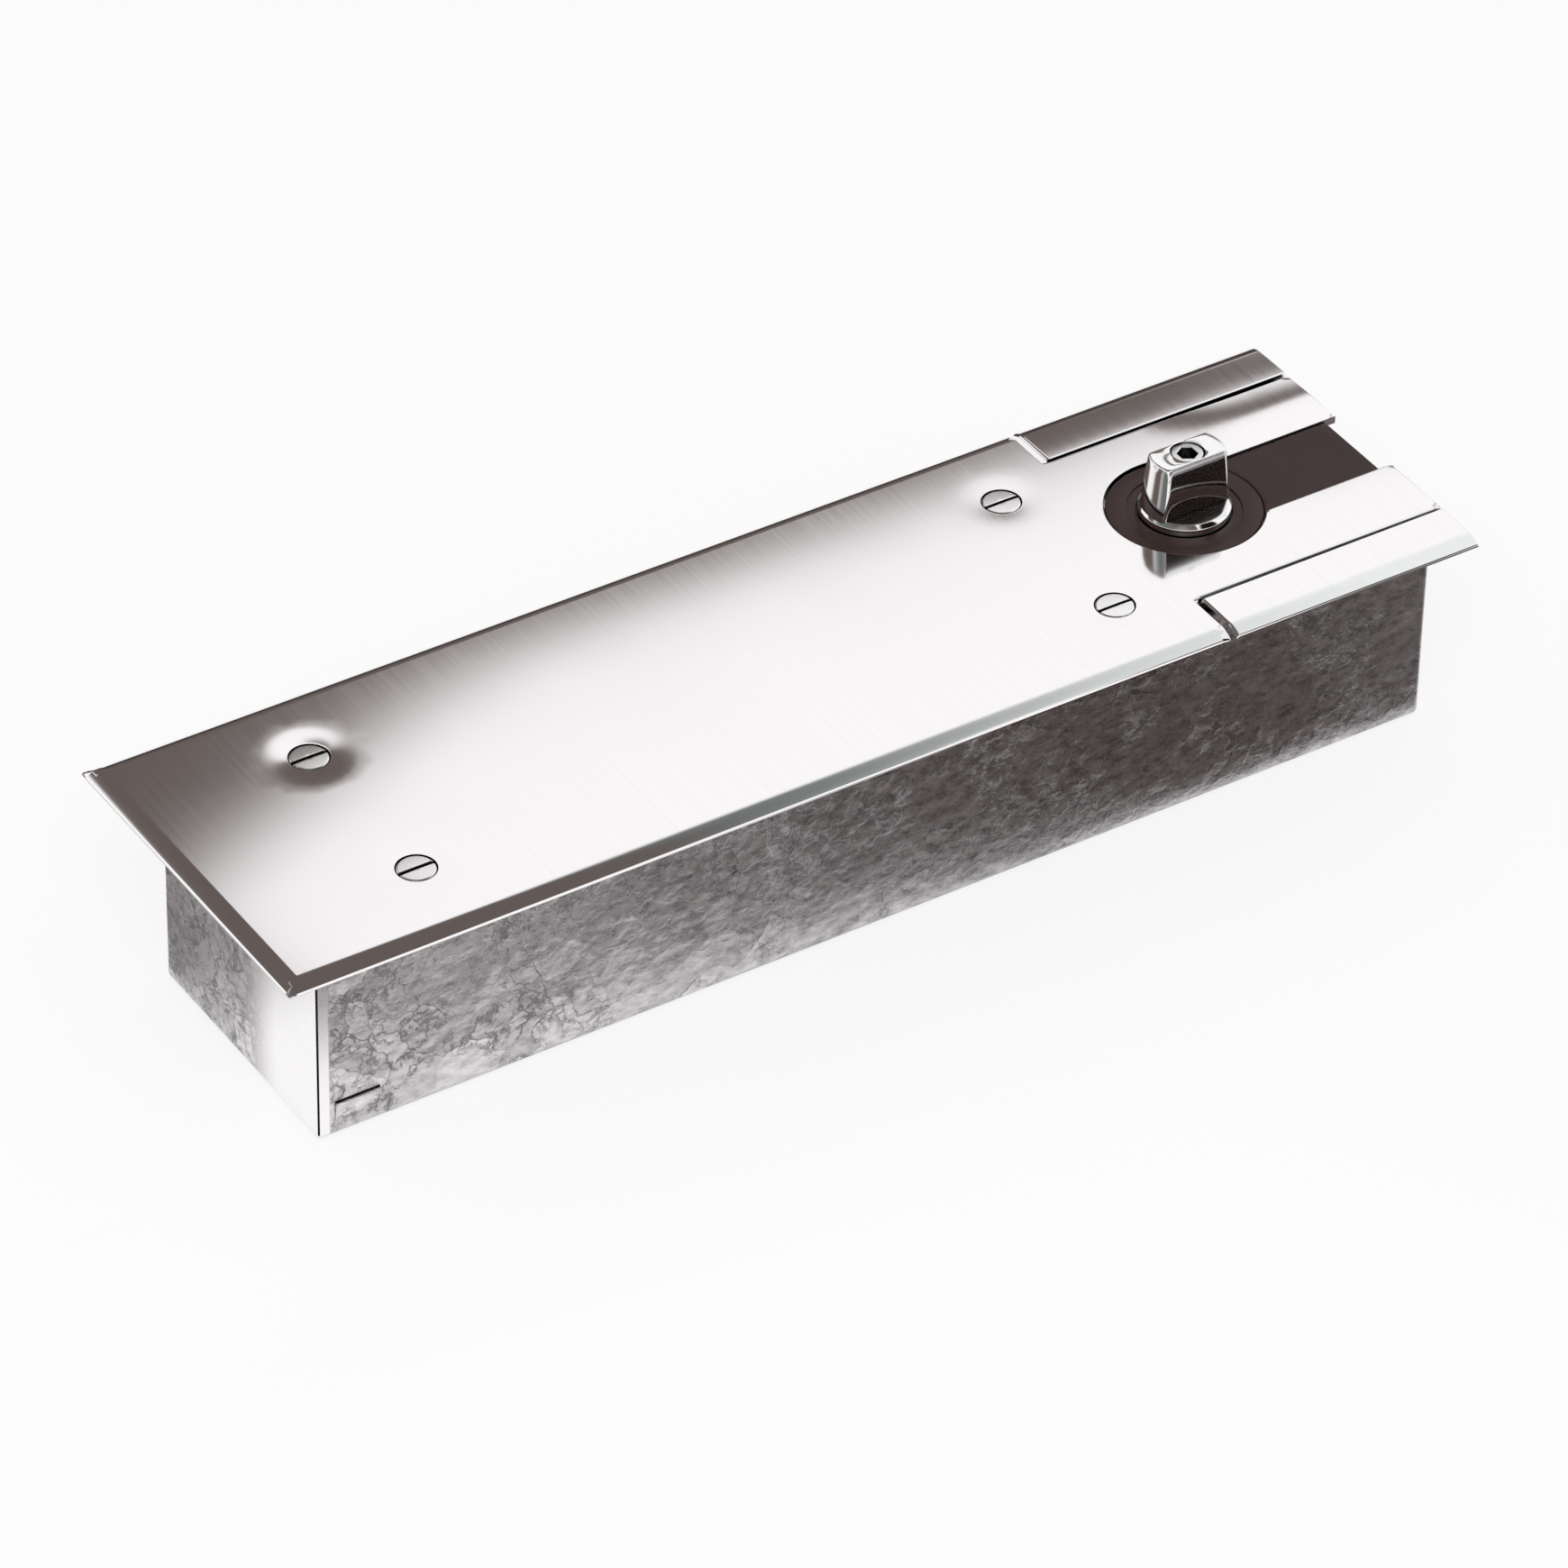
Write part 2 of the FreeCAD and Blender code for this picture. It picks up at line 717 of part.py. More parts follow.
def make_strip_carriers():
    carriers = []
    for side, sign in SIDES.items():
        inner = f"{sign} * ({FINGER_EDGE} - carrier_grip)"
        outer = f"{sign} * (cover_width / 2 - carrier_margin)"
        across = (outer, inner) if side == "front" else (inner, outer)
        carriers.append(block(
            f"strip_carrier_{side}",
            (f"{STRIP_START} + carrier_margin", "cover_length / 2 - carrier_margin"),
            across,
            (CARRIER_FOOT, COVER_BOTTOM),
        ))
    return node(group("strip_carriers", *carriers))


def make_slot_insert():
    half = "(slot_width / 2 - slot_insert_gap)"
    end = "cover_length / 2 - slot_insert_end_gap"
    strip = block(
        "slot_strip",
        (SPINDLE, end),
        (f"0 - {half}", half),
        (COVER_BOTTOM, "cover_top - slot_insert_recess"),
    )
    flange = block(
        "slot_flange_plate",
        (f"{SPINDLE} + slot_flange_start", end),
        (f"0 - {half} - slot_flange", f"{half} + slot_flange"),
        (CARRIER_FOOT, COVER_BOTTOM),
    )
    round_end = bar(
        "slot_round_end",
        "disc_radius + turning_gap",
        f"{COVER_BOTTOM} - {OVERCUT}",
        f"cover_top + {OVERCUT}",
    )
    return node(cut("slot_insert", join("slot_blank", strip, flange), round_end))


def make_spindle_disc():
    washer = tube("disc_washer", "collar_radius + turning_gap", "disc_radius", CAP_TOP, DISC_TOP)
    step = bar(
        "disc_step",
        "disc_step_radius",
        f"{DISC_TOP} - disc_step_depth",
        f"{DISC_TOP} + {OVERCUT}",
    )
    return node(cut("spindle_disc", washer, step))


# Cement box

MITRE = 45


def make_cement_box():
    body = doc.addObject("PartDesign::Body", "box_sheet")
    outline = new_sketch(body, "box_outline", "XY_Plane")
    draw_rectangle(outline, (BOX_START, BOX_END), ("-box_width / 2", "box_width / 2"))
    pad(body, outline, "box_height")
    start = size("cover_length") / 2 - size("box_end_overhang") - size("box_length")
    front = -size("box_width") / 2

    def bent_corner(box):
        upright = near(box.ZLength, size("box_height"))
        seam = near(box.XMin, start) and near(box.YMin, front)
        return upright and not seam

    round_edges(body, "box_bends", "box_bend_radius", bent_corner)
    round_edges(
        body,
        "box_foot",
        "box_foot_radius",
        lambda box: near(box.ZMin, 0) and near(box.ZMax, 0),
    )
    inside = new_sketch(body, "box_inside", "XY_Plane", "box_height")
    draw_rectangle(
        inside,
        (f"{BOX_START} + box_wall", f"{BOX_END} - box_wall"),
        ("box_wall - box_width / 2", "box_width / 2 - box_wall"),
    )
    pocket(body, inside, "box_height - box_wall")
    tab = new_sketch(body, "box_tab", "YZ_Plane", f"{BOX_START} + tab_to_end")
    draw_outline(tab, [
        ("-box_width / 2 - tab_set", "tab_foot"),
        ("-box_width / 2", "tab_foot"),
        ("-box_width / 2 + tab_set", "tab_foot + tab_height"),
        ("-box_width / 2 - tab_set", "tab_foot + tab_height"),
    ])
    pocket(body, tab, "tab_length", backwards=True)
    seam = doc.addObject("Part::Box", "box_seam")
    bind(seam, Length="seam_depth * 2", Width="seam_gap", Height="box_height")
    seam.Placement = FreeCAD.Placement(FreeCAD.Vector(), FreeCAD.Rotation(Z_AXIS, MITRE))
    shift = f"seam_gap * sin({MITRE}) / 2"
    bind(seam, **{
        "Placement.Base.x": f"{BOX_START} - seam_depth * cos({MITRE}) + {shift}",
        "Placement.Base.y": f"-box_width / 2 - seam_depth * sin({MITRE}) - {shift}",
        "Placement.Base.z": "box_wall",
    })
    return node(cut("cement_box", body, seam))


# Studs, nuts and washers that carry the housing

def stud_places():
    for end, x in (("left", EAR_LEFT), ("right", EAR_RIGHT)):
        for side, sign in SIDES.items():
            yield f"{side}_{end}", x, f"{sign} * stud_spacing / 2"


def make_studs():
    studs = []
    pad_top = "box_wall + stud_pad_height"
    for place_name, x, y in stud_places():
        studs.append(join(
            f"stud_{place_name}",
            bar(f"stud_bar_{place_name}", "stud_radius - thread_gap", "box_wall", "stud_top", (x, y)),
            bar(f"stud_pad_{place_name}", "stud_pad_radius", "box_wall", pad_top, (x, y)),
        ))
    return node(group("box_studs", *studs))


def make_nuts(name, low):
    nuts = []
    for place_name, x, y in stud_places():
        label = f"{name}_{place_name}"
        high = f"{low} + nut_height"
        nuts.append(cut(
            label,
            hexagon(f"{label}_hex", "nut_width", low, high, (x, y)),
            bar(f"{label}_thread", "stud_radius", f"{low} - {OVERCUT}", f"{high} + {OVERCUT}", (x, y)),
        ))
    return node(group(name, *nuts))


def make_ear_washers():
    washers = [
        tube(
            f"washer_{place_name}",
            "stud_radius + bolt_gap / 2",
            "washer_radius",
            EAR_TOP,
            f"{EAR_TOP} + washer_height",
            (x, y),
        )
        for place_name, x, y in stud_places()
    ]
    return node(group("ear_washers", *washers))


# Closer housing

CAP_SCREW_COUNT = 4


def cap_screw_places():
    for number in range(CAP_SCREW_COUNT):
        angle = 360 * (number + 0.5) / CAP_SCREW_COUNT
        yield (
            number,
            f"{SPINDLE} + cap_screw_circle * cos({angle})",
            f"cap_screw_circle * sin({angle})",
        )


def housing_section():
    """The casting's section: a block with slanted lower and upper corners."""
    half = "housing_width / 2"
    corner = "housing_corner"
    return [
        (f"{corner} - {half}", HOUSING_FOOT),
        (f"{half} - {corner}", HOUSING_FOOT),
        (half, f"{HOUSING_FOOT} + {corner}"),
        (half, f"{HOUSING_TOP} - {corner} / 2"),
        (f"{half} - {corner} / 2", HOUSING_TOP),
        (f"{corner} / 2 - {half}", HOUSING_TOP),
        (f"0 - {half}", f"{HOUSING_TOP} - {corner} / 2"),
        (f"0 - {half}", f"{HOUSING_FOOT} + {corner}"),
    ]


def valve_places():
    for name, sign in (("closing", "-1"), ("latching", "1")):
        yield name, (VALVE_X, f"{sign} * valve_out")


def make_housing():
    body = doc.addObject("PartDesign::Body", "housing_casting")
    section = new_sketch(body, "housing_section", "YZ_Plane", HOUSING_START)
    draw_outline(section, housing_section())
    pad(body, section, f"{HOUSING_END} - {HOUSING_START}")
    solids = [body, bar("spindle_boss", "spindle_boss_radius", "bore_height", BOSS_TOP)]
    for place_name, x, y in screw_places():
        boss = f"screw_boss_{place_name}"
        solids.append(bar(boss, "screw_boss_radius", "screw_boss_foot", COVER_BOTTOM, (x, y)))
    for end, x in (("left", EAR_LEFT), ("right", EAR_RIGHT)):
        solids.append(block(
            f"ears_{end}",
            (f"{x} - ear_length / 2", f"{x} + ear_length / 2"),
            ("-housing_width / 2 - ear_reach", "housing_width / 2 + ear_reach"),
            ("ear_foot", EAR_TOP),
        ))
    along = ("0", "bore_height")
    bore_end = f"{HOUSING_END} - end_wall"
    holes = [
        bar("spring_bore", "spring_bore_radius", f"{HOUSING_START} - {OVERCUT}", SEAT_END, along, "x"),
        bar("piston_bore", "piston_bore_radius", f"{SEAT_END} - {OVERCUT}", bore_end, along, "x"),
        bar("bearing_pocket", "upper_bearing_outer", BEARING_SEAT, f"{BOSS_TOP} + {OVERCUT}"),
        bar("shaft_hole", "shaft_collar_radius + turning_gap", "bore_height", f"{BOSS_TOP} + {OVERCUT}"),
        bar("lower_pocket", "lower_bearing_outer", LOWER_SEAT, "bore_height"),
    ]
    for place_name, x, y in screw_places():
        low = f"{DISH_FLOOR} - cover_screw_length - {OVERCUT}"
        high = f"{COVER_BOTTOM} + {OVERCUT}"
        holes.append(bar(f"boss_thread_{place_name}", "cover_screw_radius", low, high, (x, y)))
        holes.append(taper(
            f"boss_chamfer_{place_name}",
            "cover_screw_radius",
            "cover_screw_radius + screw_boss_chamfer",
            f"{COVER_BOTTOM} - screw_boss_chamfer",
            COVER_BOTTOM,
            (x, y),
        ))
    for place_name, x, y in stud_places():
        low = f"ear_foot - {OVERCUT}"
        high = f"{EAR_TOP} + {OVERCUT}"
        holes.append(bar(f"ear_hole_{place_name}", "stud_radius + bolt_gap", low, high, (x, y)))
    for number, x, y in cap_screw_places():
        low = f"{CAP_TOP} - cap_screw_length - {OVERCUT}"
        high = f"{BOSS_TOP} + {OVERCUT}"
        holes.append(bar(f"cap_thread_{number}", "cap_screw_radius", low, high, (x, y)))
    for name, at in valve_places():
        needle_foot = f"{VALVE_NECK} - valve_needle_length"
        holes.append(bar(
            f"{name}_valve_room",
            "valve_head_radius + valve_gap",
            VALVE_NECK,
            f"{HOUSING_TOP} + {OVERCUT}",
            at,
        ))
        holes.append(bar(
            f"{name}_needle_room",
            "valve_needle_radius + valve_gap",
            f"{needle_foot} - turning_gap",
            f"{VALVE_NECK} + {OVERCUT}",
            at,
        ))
        low, high = (at[1], "0") if name == "closing" else ("0", at[1])
        holes.append(bar(
            f"{name}_port",
            "valve_port_radius",
            low,
            high,
            (VALVE_X, f"{needle_foot} + valve_port_radius * 2"),
            "y",
        ))
    return node(cut("closer_housing", join("housing_blank", *solids), *holes))


# Bearings

UPPER_BALL_COUNT = 12
LOWER_BALL_COUNT = 10


def make_bearing(name, bore, outer, width, ball_radius, seat, ball_count):
    """Rings, balls and cage about the spindle axis, the inner ring set a little higher."""
    track = f"({bore} + {outer}) / 2"
    middle = f"{seat} + {width} / 2 + ring_offset / 2"
    race = f"{ball_radius} + race_clearance"
    inner_low = f"{seat} + ring_offset"
    outer_blank = tube(
        f"{name}_outer_blank",
        f"{track} + {ball_radius} - ring_land",
        outer,
        seat,
        f"{seat} + {width}",
    )
    inner_blank = tube(
        f"{name}_inner_blank",
        bore,
        f"{track} - {ball_radius} + ring_land",
        inner_low,
        f"{inner_low} + {width}",
    )
    outer_race = hoop(f"{name}_outer_race", track, race, SPINDLE, "0", middle)
    inner_race = hoop(f"{name}_inner_race", track, race, SPINDLE, "0", middle)
    node(cut(f"{name}_outer_ring", outer_blank, outer_race))
    node(cut(f"{name}_inner_ring", inner_blank, inner_race))
    balls = []
    rooms = []
    for number in range(ball_count):
        angle = 360 * number / ball_count
        x = f"{SPINDLE} + {track} * cos({angle})"
        y = f"{track} * sin({angle})"
        balls.append(ball(f"{name}_ball_{number}", ball_radius, x, y, middle))
        rooms.append(spoke(
            f"{name}_ball_room_{number}",
            f"{ball_radius} + cage_gap",
            f"{track} - cage_wall",
            f"{track} + cage_wall",
            angle,
            middle,
        ))
    node(group(f"{name}_balls", *balls))
    cage_blank = tube(
        f"{name}_cage_blank",
        f"{track} - cage_wall / 2",
        f"{track} + cage_wall / 2",
        f"{middle} - {ball_radius} - cage_edge",
        f"{middle} + {ball_radius} + cage_edge",
    )
    node(cut(f"{name}_cage", cage_blank, *rooms))


# Bearing cap, its screws and the shaft seal

def make_bearing_cap():
    disc = bar("cap_disc", "cap_radius", BOSS_TOP, CAP_TOP)
    holes = [
        bar("cap_seal_room", "seal_radius", f"{BOSS_TOP} - {OVERCUT}", f"{CAP_TOP} - cap_lip"),
        bar("cap_shaft_hole", "upper_bearing_bore + turning_gap", BOSS_TOP, f"{CAP_TOP} + {OVERCUT}"),
    ]
    for number, x, y in cap_screw_places():
        holes.append(bar(
            f"cap_hole_{number}",
            "cap_screw_radius + thread_gap",
            f"{BOSS_TOP} - {OVERCUT}",
            f"{CAP_TOP} + {OVERCUT}",
            (x, y),
        ))
        holes.append(taper(
            f"cap_sink_{number}",
            "cap_screw_radius + thread_gap",
            "cap_screw_head_radius + thread_gap",
            f"{CAP_TOP} - cap_screw_head_radius + cap_screw_radius",
            CAP_TOP,
            (x, y),
        ))
    return node(cut("bearing_cap", disc, *holes))


def make_cap_screws():
    screws = []
    for number, x, y in cap_screw_places():
        screws.append(join(
            f"cap_screw_{number}",
            bar(
                f"cap_screw_bar_{number}",
                "cap_screw_radius - running_gap",
                f"{CAP_TOP} - cap_screw_length",
                CAP_TOP,
                (x, y),
            ),
            taper(
                f"cap_screw_head_{number}",
                "cap_screw_radius - running_gap",
                "cap_screw_head_radius - running_gap",
                f"{CAP_TOP} - cap_screw_head_radius + cap_screw_radius",
                CAP_TOP,
                (x, y),
            ),
        ))
    return node(group("cap_screws", *screws))


def make_shaft_seal():
    return node(tube(
        "shaft_seal",
        "upper_bearing_bore + running_gap",
        "seal_radius - running_gap",
        f"{BOSS_TOP} + seal_gap",
        f"{CAP_TOP} - cap_lip",
    ))


# Spindle shaft with its pinion

INVOLUTE_POINTS = 8


def involute(angle):
    return math.tan(angle) - angle


def pinion_flank(middle, side):
    """Points of one tooth flank from the base circle to the tip, about the tooth's middle angle."""
    pitch_radius = size("gear_module") * PINION_TEETH / 2
    pressure = math.radians(size("pressure_angle"))
    base_radius = pitch_radius * math.cos(pressure)
    shifted = 2 * size("profile_shift") * math.tan(pressure)
    thickness = size("gear_module") * (math.pi / 2 + shifted)
    half_at_base = thickness / (2 * pitch_radius) + involute(pressure)
    points = []
    for step in range(INVOLUTE_POINTS):
        radius = base_radius + (size("pinion_tip_radius") - base_radius) * step / (INVOLUTE_POINTS - 1)
        half = half_at_base - involute(math.acos(base_radius / radius))
        angle = middle + side * half
        points.append(FreeCAD.Vector(radius * math.cos(angle), radius * math.sin(angle), 0))
    return points


def at_angle(radius, angle):
    return FreeCAD.Vector(radius * math.cos(angle), radius * math.sin(angle), 0)


def pinion_shape():
    """The toothed part about its own axis, with one tooth pointing along +Y at the rack."""
    root_radius = size("gear_module") * (PINION_TEETH / 2 + size("profile_shift") - 1)
    root_radius -= size("gear_clearance")
    tooth_turn = 2 * math.pi / PINION_TEETH
    edges = []
    for tooth in range(PINION_TEETH):
        middle = math.pi / 2 + tooth * tooth_turn
        rising = pinion_flank(middle, -1)
        falling = pinion_flank(middle, 1)
        next_rising = pinion_flank(middle + tooth_turn, -1)
        root_start = FreeCAD.Vector(falling[0]).normalize() * root_radius
        root_end = FreeCAD.Vector(next_rising[0]).normalize() * root_radius
        foot = FreeCAD.Vector(rising[0]).normalize() * root_radius
        curve = Part.BSplineCurve()
        curve.interpolate(rising)
        other = Part.BSplineCurve()
        other.interpolate(falling)
        edges.append(Part.makeLine(foot, rising[0]))
        edges.append(curve.toShape())
        tip = at_angle(size("pinion_tip_radius"), middle)
        edges.append(Part.Arc(rising[-1], tip, falling[-1]).toShape())
        edges.append(other.toShape())
        edges.append(Part.makeLine(falling[0], root_start))
        root_middle = at_angle(root_radius, middle + tooth_turn / 2)
        edges.append(Part.Arc(root_start, root_middle, root_end).toShape())
    outline = Part.Wire(Part.__sortEdges__(edges))
    return Part.Face(outline).extrude(Z_AXIS * size("gear_face"))


def make_spindle_shaft():
    pinion = doc.addObject("Part::Feature", "pinion")
    pinion.Shape = pinion_shape()
    place(pinion, SPINDLE, "0", "bore_height - gear_face / 2")
    shoulder = f"{LOWER_SEAT} + ring_offset + lower_bearing_width"
    collar_top = f"{BEARING_SEAT} + ring_offset"
    solids = [
        pinion,
        bar("lower_journal", "lower_bearing_bore", f"{LOWER_SEAT} + ring_offset * 2", shoulder),
        bar("lower_neck", "lower_bearing_bore + lower_neck_step", shoulder, "bore_height - gear_face / 2"),
        bar("upper_neck", "shaft_neck_radius", "bore_height + gear_face / 2", collar_top),
        bar("shaft_collar", "shaft_collar_radius", f"{collar_top} - shaft_collar_height", collar_top),
        bar("upper_journal", "upper_bearing_bore", collar_top, SHAFT_TOP),
    ]
    half = "drive_square / 2"
    holes = [
        block(
            "drive_socket",
            (f"{SPINDLE} - {half}", f"{SPINDLE} + {half}"),
            (f"0 - {half}", half),
            (f"{SHAFT_TOP} - drive_depth", f"{SHAFT_TOP} + {OVERCUT}"),
        ),
        bar(
            "shaft_thread",
            "spindle_screw_radius",
            f"{SHAFT_TOP} - spindle_screw_depth - {OVERCUT}",
            f"{SHAFT_TOP} + {OVERCUT}",
        ),
    ]
    return node(cut("spindle_shaft", join("shaft_blank", *solids), *holes))


# Exchangeable spindle piece and its screw

def make_spindle_insert():
    body = doc.addObject("PartDesign::Body", "insert_flats")
    section = new_sketch(body, "insert_section", "YZ_Plane", SPINDLE)
    draw_outline(section, [
        ("-flat_foot_half", COLLAR_TOP),
        ("flat_foot_half", COLLAR_TOP),
        ("flat_top_half", "spindle_top"),
        ("-flat_top_half", "spindle_top"),
    ])
    pad(body, section, "collar_radius * 2", symmetric=True)
    cone = taper("insert_cone", "cone_foot_radius", "cone_top_radius", COLLAR_TOP, "spindle_top")
    chamfer_low = f"{COLLAR_TOP} - collar_chamfer"
    collar_rim = "collar_radius - collar_chamfer"
    half = "(drive_square / 2 - running_gap)"
    solids = [
        overlap("insert_blade", body, cone),
        bar("insert_collar", "collar_radius", SHAFT_TOP, chamfer_low),
        taper("insert_collar_edge", "collar_radius", collar_rim, chamfer_low, COLLAR_TOP),
        block(
            "insert_square",
            (f"{SPINDLE} - {half}", f"{SPINDLE} + {half}"),
            (f"0 - {half}", half),
            (f"{SHAFT_TOP} - drive_depth + turning_gap", SHAFT_TOP),
        ),
    ]
    holes = [
        bar(
            "insert_hole",
            "spindle_screw_radius + thread_gap",
            f"{SHAFT_TOP} - drive_depth - {OVERCUT}",
            f"spindle_top + {OVERCUT}",
        ),
        bar(
            "insert_head_room",
            "spindle_screw_head_radius + thread_gap",
            SPINDLE_SCREW_SEAT,
            f"spindle_top + {OVERCUT}",
        ),
    ]
    return node(cut("spindle_insert", join("insert_blank", *solids), *holes))


def make_spindle_screw():
    solid = join(
        "spindle_screw_blank",
        bar("spindle_screw_head", "spindle_screw_head_radius", SPINDLE_SCREW_SEAT, SPINDLE_SCREW_TOP),
        bar(
            "spindle_screw_shank",
            "spindle_screw_radius - running_gap",
            f"{SHAFT_TOP} - spindle_screw_depth",
            SPINDLE_SCREW_TOP,
        ),
    )
    socket = hexagon(
        "spindle_screw_socket",
        "hex_socket",
        f"{SPINDLE_SCREW_TOP} - hex_depth",
        f"{SPINDLE_SCREW_TOP} + {OVERCUT}",
        (SPINDLE, "0"),
    )
    return node(cut("spindle_screw", solid, socket))


# Rack piston with its ring and check valves

def gap_half(up):
    """Half the width of the gap between two rack teeth at a distance from the spindle axis."""
    at_line = "(pi * gear_module / 4 + gear_backlash / 2)"
    return f"({at_line} + ({RACK_LINE} - ({up})) * tan(pressure_angle))"


def check_places():
    """The two check valves: one opens from each side of the piston."""
    yield "low", "-1", "bore_height - check_up", PISTON_START, "1"
    yield "high", "-1", "bore_height + check_up", PISTON_END, "-1"


def make_rack_piston():
    body = doc.addObject("PartDesign::Body", "rack_piston_body")
    outside = new_sketch(body, "piston_outside", "YZ_Plane", PISTON_START)
    draw_circle(outside, "piston_bore_radius - running_gap", "0", "bore_height")
    pad(body, outside, f"{RACK_END} - {PISTON_START}")
    fork = new_sketch(body, "piston_fork", "XY_Plane", "bore_height")
    draw_rectangle(
        fork,
        (PISTON_END, f"{RACK_END} + {OVERCUT}"),
        (f"0 - piston_bore_radius - {OVERCUT}", RACK_TIP),
    )
    pocket(body, fork, f"(piston_bore_radius + {OVERCUT}) * 2", symmetric=True)
    face = "(gear_face / 2 - turning_gap)"
    for name, low, high in (
        ("above", f"bore_height + {face}", f"bore_height + piston_bore_radius + {OVERCUT}"),
        ("below", f"bore_height - piston_bore_radius - {OVERCUT}", f"bore_height - {face}"),
    ):
        relief = new_sketch(body, f"rack_{name}", "YZ_Plane", PISTON_END)
        draw_rectangle(relief, (f"{RACK_TIP} - {OVERCUT}", RACK_ROOT), (low, high))
        pocket(body, relief, f"{RACK_END} - {PISTON_END} + {OVERCUT}", backwards=True)
    gap = new_sketch(body, "rack_gap", "XY_Plane", "bore_height")
    relief_line = f"{RACK_TIP} + rack_tip_relief"
    beyond = f"{RACK_TIP} - {OVERCUT}"
    tip_half = f"({gap_half(relief_line)} + rack_tip_relief)"
    draw_outline(gap, [
        (f"{SPINDLE} - {gap_half(RACK_ROOT)}", RACK_ROOT),
        (f"{SPINDLE} - {gap_half(relief_line)}", relief_line),
        (f"{SPINDLE} - {tip_half}", RACK_TIP),
        (f"{SPINDLE} - {tip_half}", beyond),
        (f"{SPINDLE} + {tip_half}", beyond),
        (f"{SPINDLE} + {tip_half}", RACK_TIP),
        (f"{SPINDLE} + {gap_half(relief_line)}", relief_line),
        (f"{SPINDLE} + {gap_half(RACK_ROOT)}", RACK_ROOT),
    ])
    first_gap = pocket(body, gap, f"gear_face + {OVERCUT}", symmetric=True)
    pitch = math.pi * size("gear_module")
    x_axis = next(item for item in body.Origin.OriginFeatures if item.Role == "X_Axis")
    for name, room, towards_piston in (
        ("right", size("rack_past_spindle"), False),
        ("left", size("piston_to_spindle") - size("rack_to_piston"), True),
    ):
        steps = int(room / pitch)
        row = body.newObject("PartDesign::LinearPattern", f"rack_gaps_{name}")
        row.Originals = [first_gap]
        row.Direction = (x_axis, [""])
        row.Reversed = towards_piston
        row.Occurrences = steps + 1
        bind(row, Length=f"pi * gear_module * {steps}")
        body.Tip = row
        doc.recompute()
    along = ("0", "bore_height")
    ring_start = f"{PISTON_START} + piston_ring_inset"
    holes = [
        bar(
            "piston_rod_hole",
            "rod_radius + running_gap",
            f"{PISTON_START} - {OVERCUT}",
            f"{PISTON_START} + rod_grip",
            along,
            "x",
        ),
        tube(
            "piston_ring_groove",
            "piston_bore_radius - piston_ring_depth",
            f"piston_bore_radius + {OVERCUT}",
            ring_start,
            f"{ring_start} + piston_ring_width",
            along,
            "x",
        ),
    ]
    for name, side, height, face, inwards in check_places():
        at = (f"{side} * check_out", height)
        floor = f"{face} + {inwards} * check_depth"
        mouth = f"{face} - {inwards} * {OVERCUT}"
        far = f"{face} + {inwards} * (piston_length + {OVERCUT})"
        low, high = (mouth, floor) if inwards == "1" else (floor, mouth)
        holes.append(bar(f"check_room_{name}", "check_radius", low, high, at, "x"))
        low, high = (mouth, far) if inwards == "1" else (far, mouth)
        holes.append(bar(f"check_port_{name}", "check_port_radius", low, high, at, "x"))
    return node(cut("rack_piston", body, *holes))


def make_piston_ring():
    start = f"{PISTON_START} + piston_ring_inset + running_gap"
    return node(tube(
        "piston_ring",
        "piston_bore_radius - piston_ring_depth + running_gap",
        "piston_bore_radius - running_gap / 2",
        start,
        f"{start} + piston_ring_width - running_gap * 2",
        ("0", "bore_height"),
        "x",
    ))


def make_check_valves():
    balls = []
    caps = []
    for name, side, height, face, inwards in check_places():
        at = (f"{side} * check_out", height)
        seated = "sqrt(check_ball_radius ^ 2 - check_port_radius ^ 2)"
        centre = f"{face} + {inwards} * (check_depth - {seated} - running_gap)"
        balls.append(ball(f"check_ball_{name}", "check_ball_radius", centre, at[0], at[1]))
        inner = f"{face} + {inwards} * check_cap_height"
        low, high = (face, inner) if inwards == "1" else (inner, face)
        cap_radius = "check_radius - running_gap"
        caps.append(tube(f"check_cap_{name}", "check_port_radius", cap_radius, low, high, at, "x"))
    node(group("check_valve_balls", *balls))
    node(group("check_valve_caps", *caps))


# Rod, spring head, rod nut and spring seat

HEAD_PORT_COUNT = 4


def make_rod():
    along = ("0", "bore_height")
    end = f"{HEAD_START} - rod_nut_height - rod_end_spare"
    return node(join(
        "piston_rod",
        bar("rod_shank", "rod_radius", HEAD_END, f"{PISTON_START} + rod_grip", along, "x"),
        bar("rod_end", "rod_end_radius - running_gap", end, HEAD_END, along, "x"),
    ))


def make_spring_head():
    along = ("0", "bore_height")
    solid = join(
        "head_blank",
        bar("head_disc", "head_radius", HEAD_START, HEAD_END, along, "x"),
        bar("head_spigot", "head_spigot_radius", HEAD_END, f"{HEAD_END} + head_spigot_height", along, "x"),
    )
    low = f"{HEAD_START} - {OVERCUT}"
    holes = [
        bar("head_rod_end_hole", "rod_end_radius", low, f"{HEAD_END} + {OVERCUT}", along, "x"),
        bar(
            "head_rod_hole",
            "rod_radius + running_gap",
            HEAD_END,
            f"{HEAD_END} + head_spigot_height + {OVERCUT}",
            along,
            "x",
        ),
    ]
    for number in range(HEAD_PORT_COUNT):
        angle = 360 * (number + 0.5) / HEAD_PORT_COUNT
        at = (f"head_radius * cos({angle})", f"bore_height + head_radius * sin({angle})")
        holes.append(bar(
            f"head_port_{number}",
            "head_port_radius",
            low,
            f"{HEAD_END} + {OVERCUT}",
            at,
            "x",
        ))
    return node(cut("spring_head", solid, *holes))


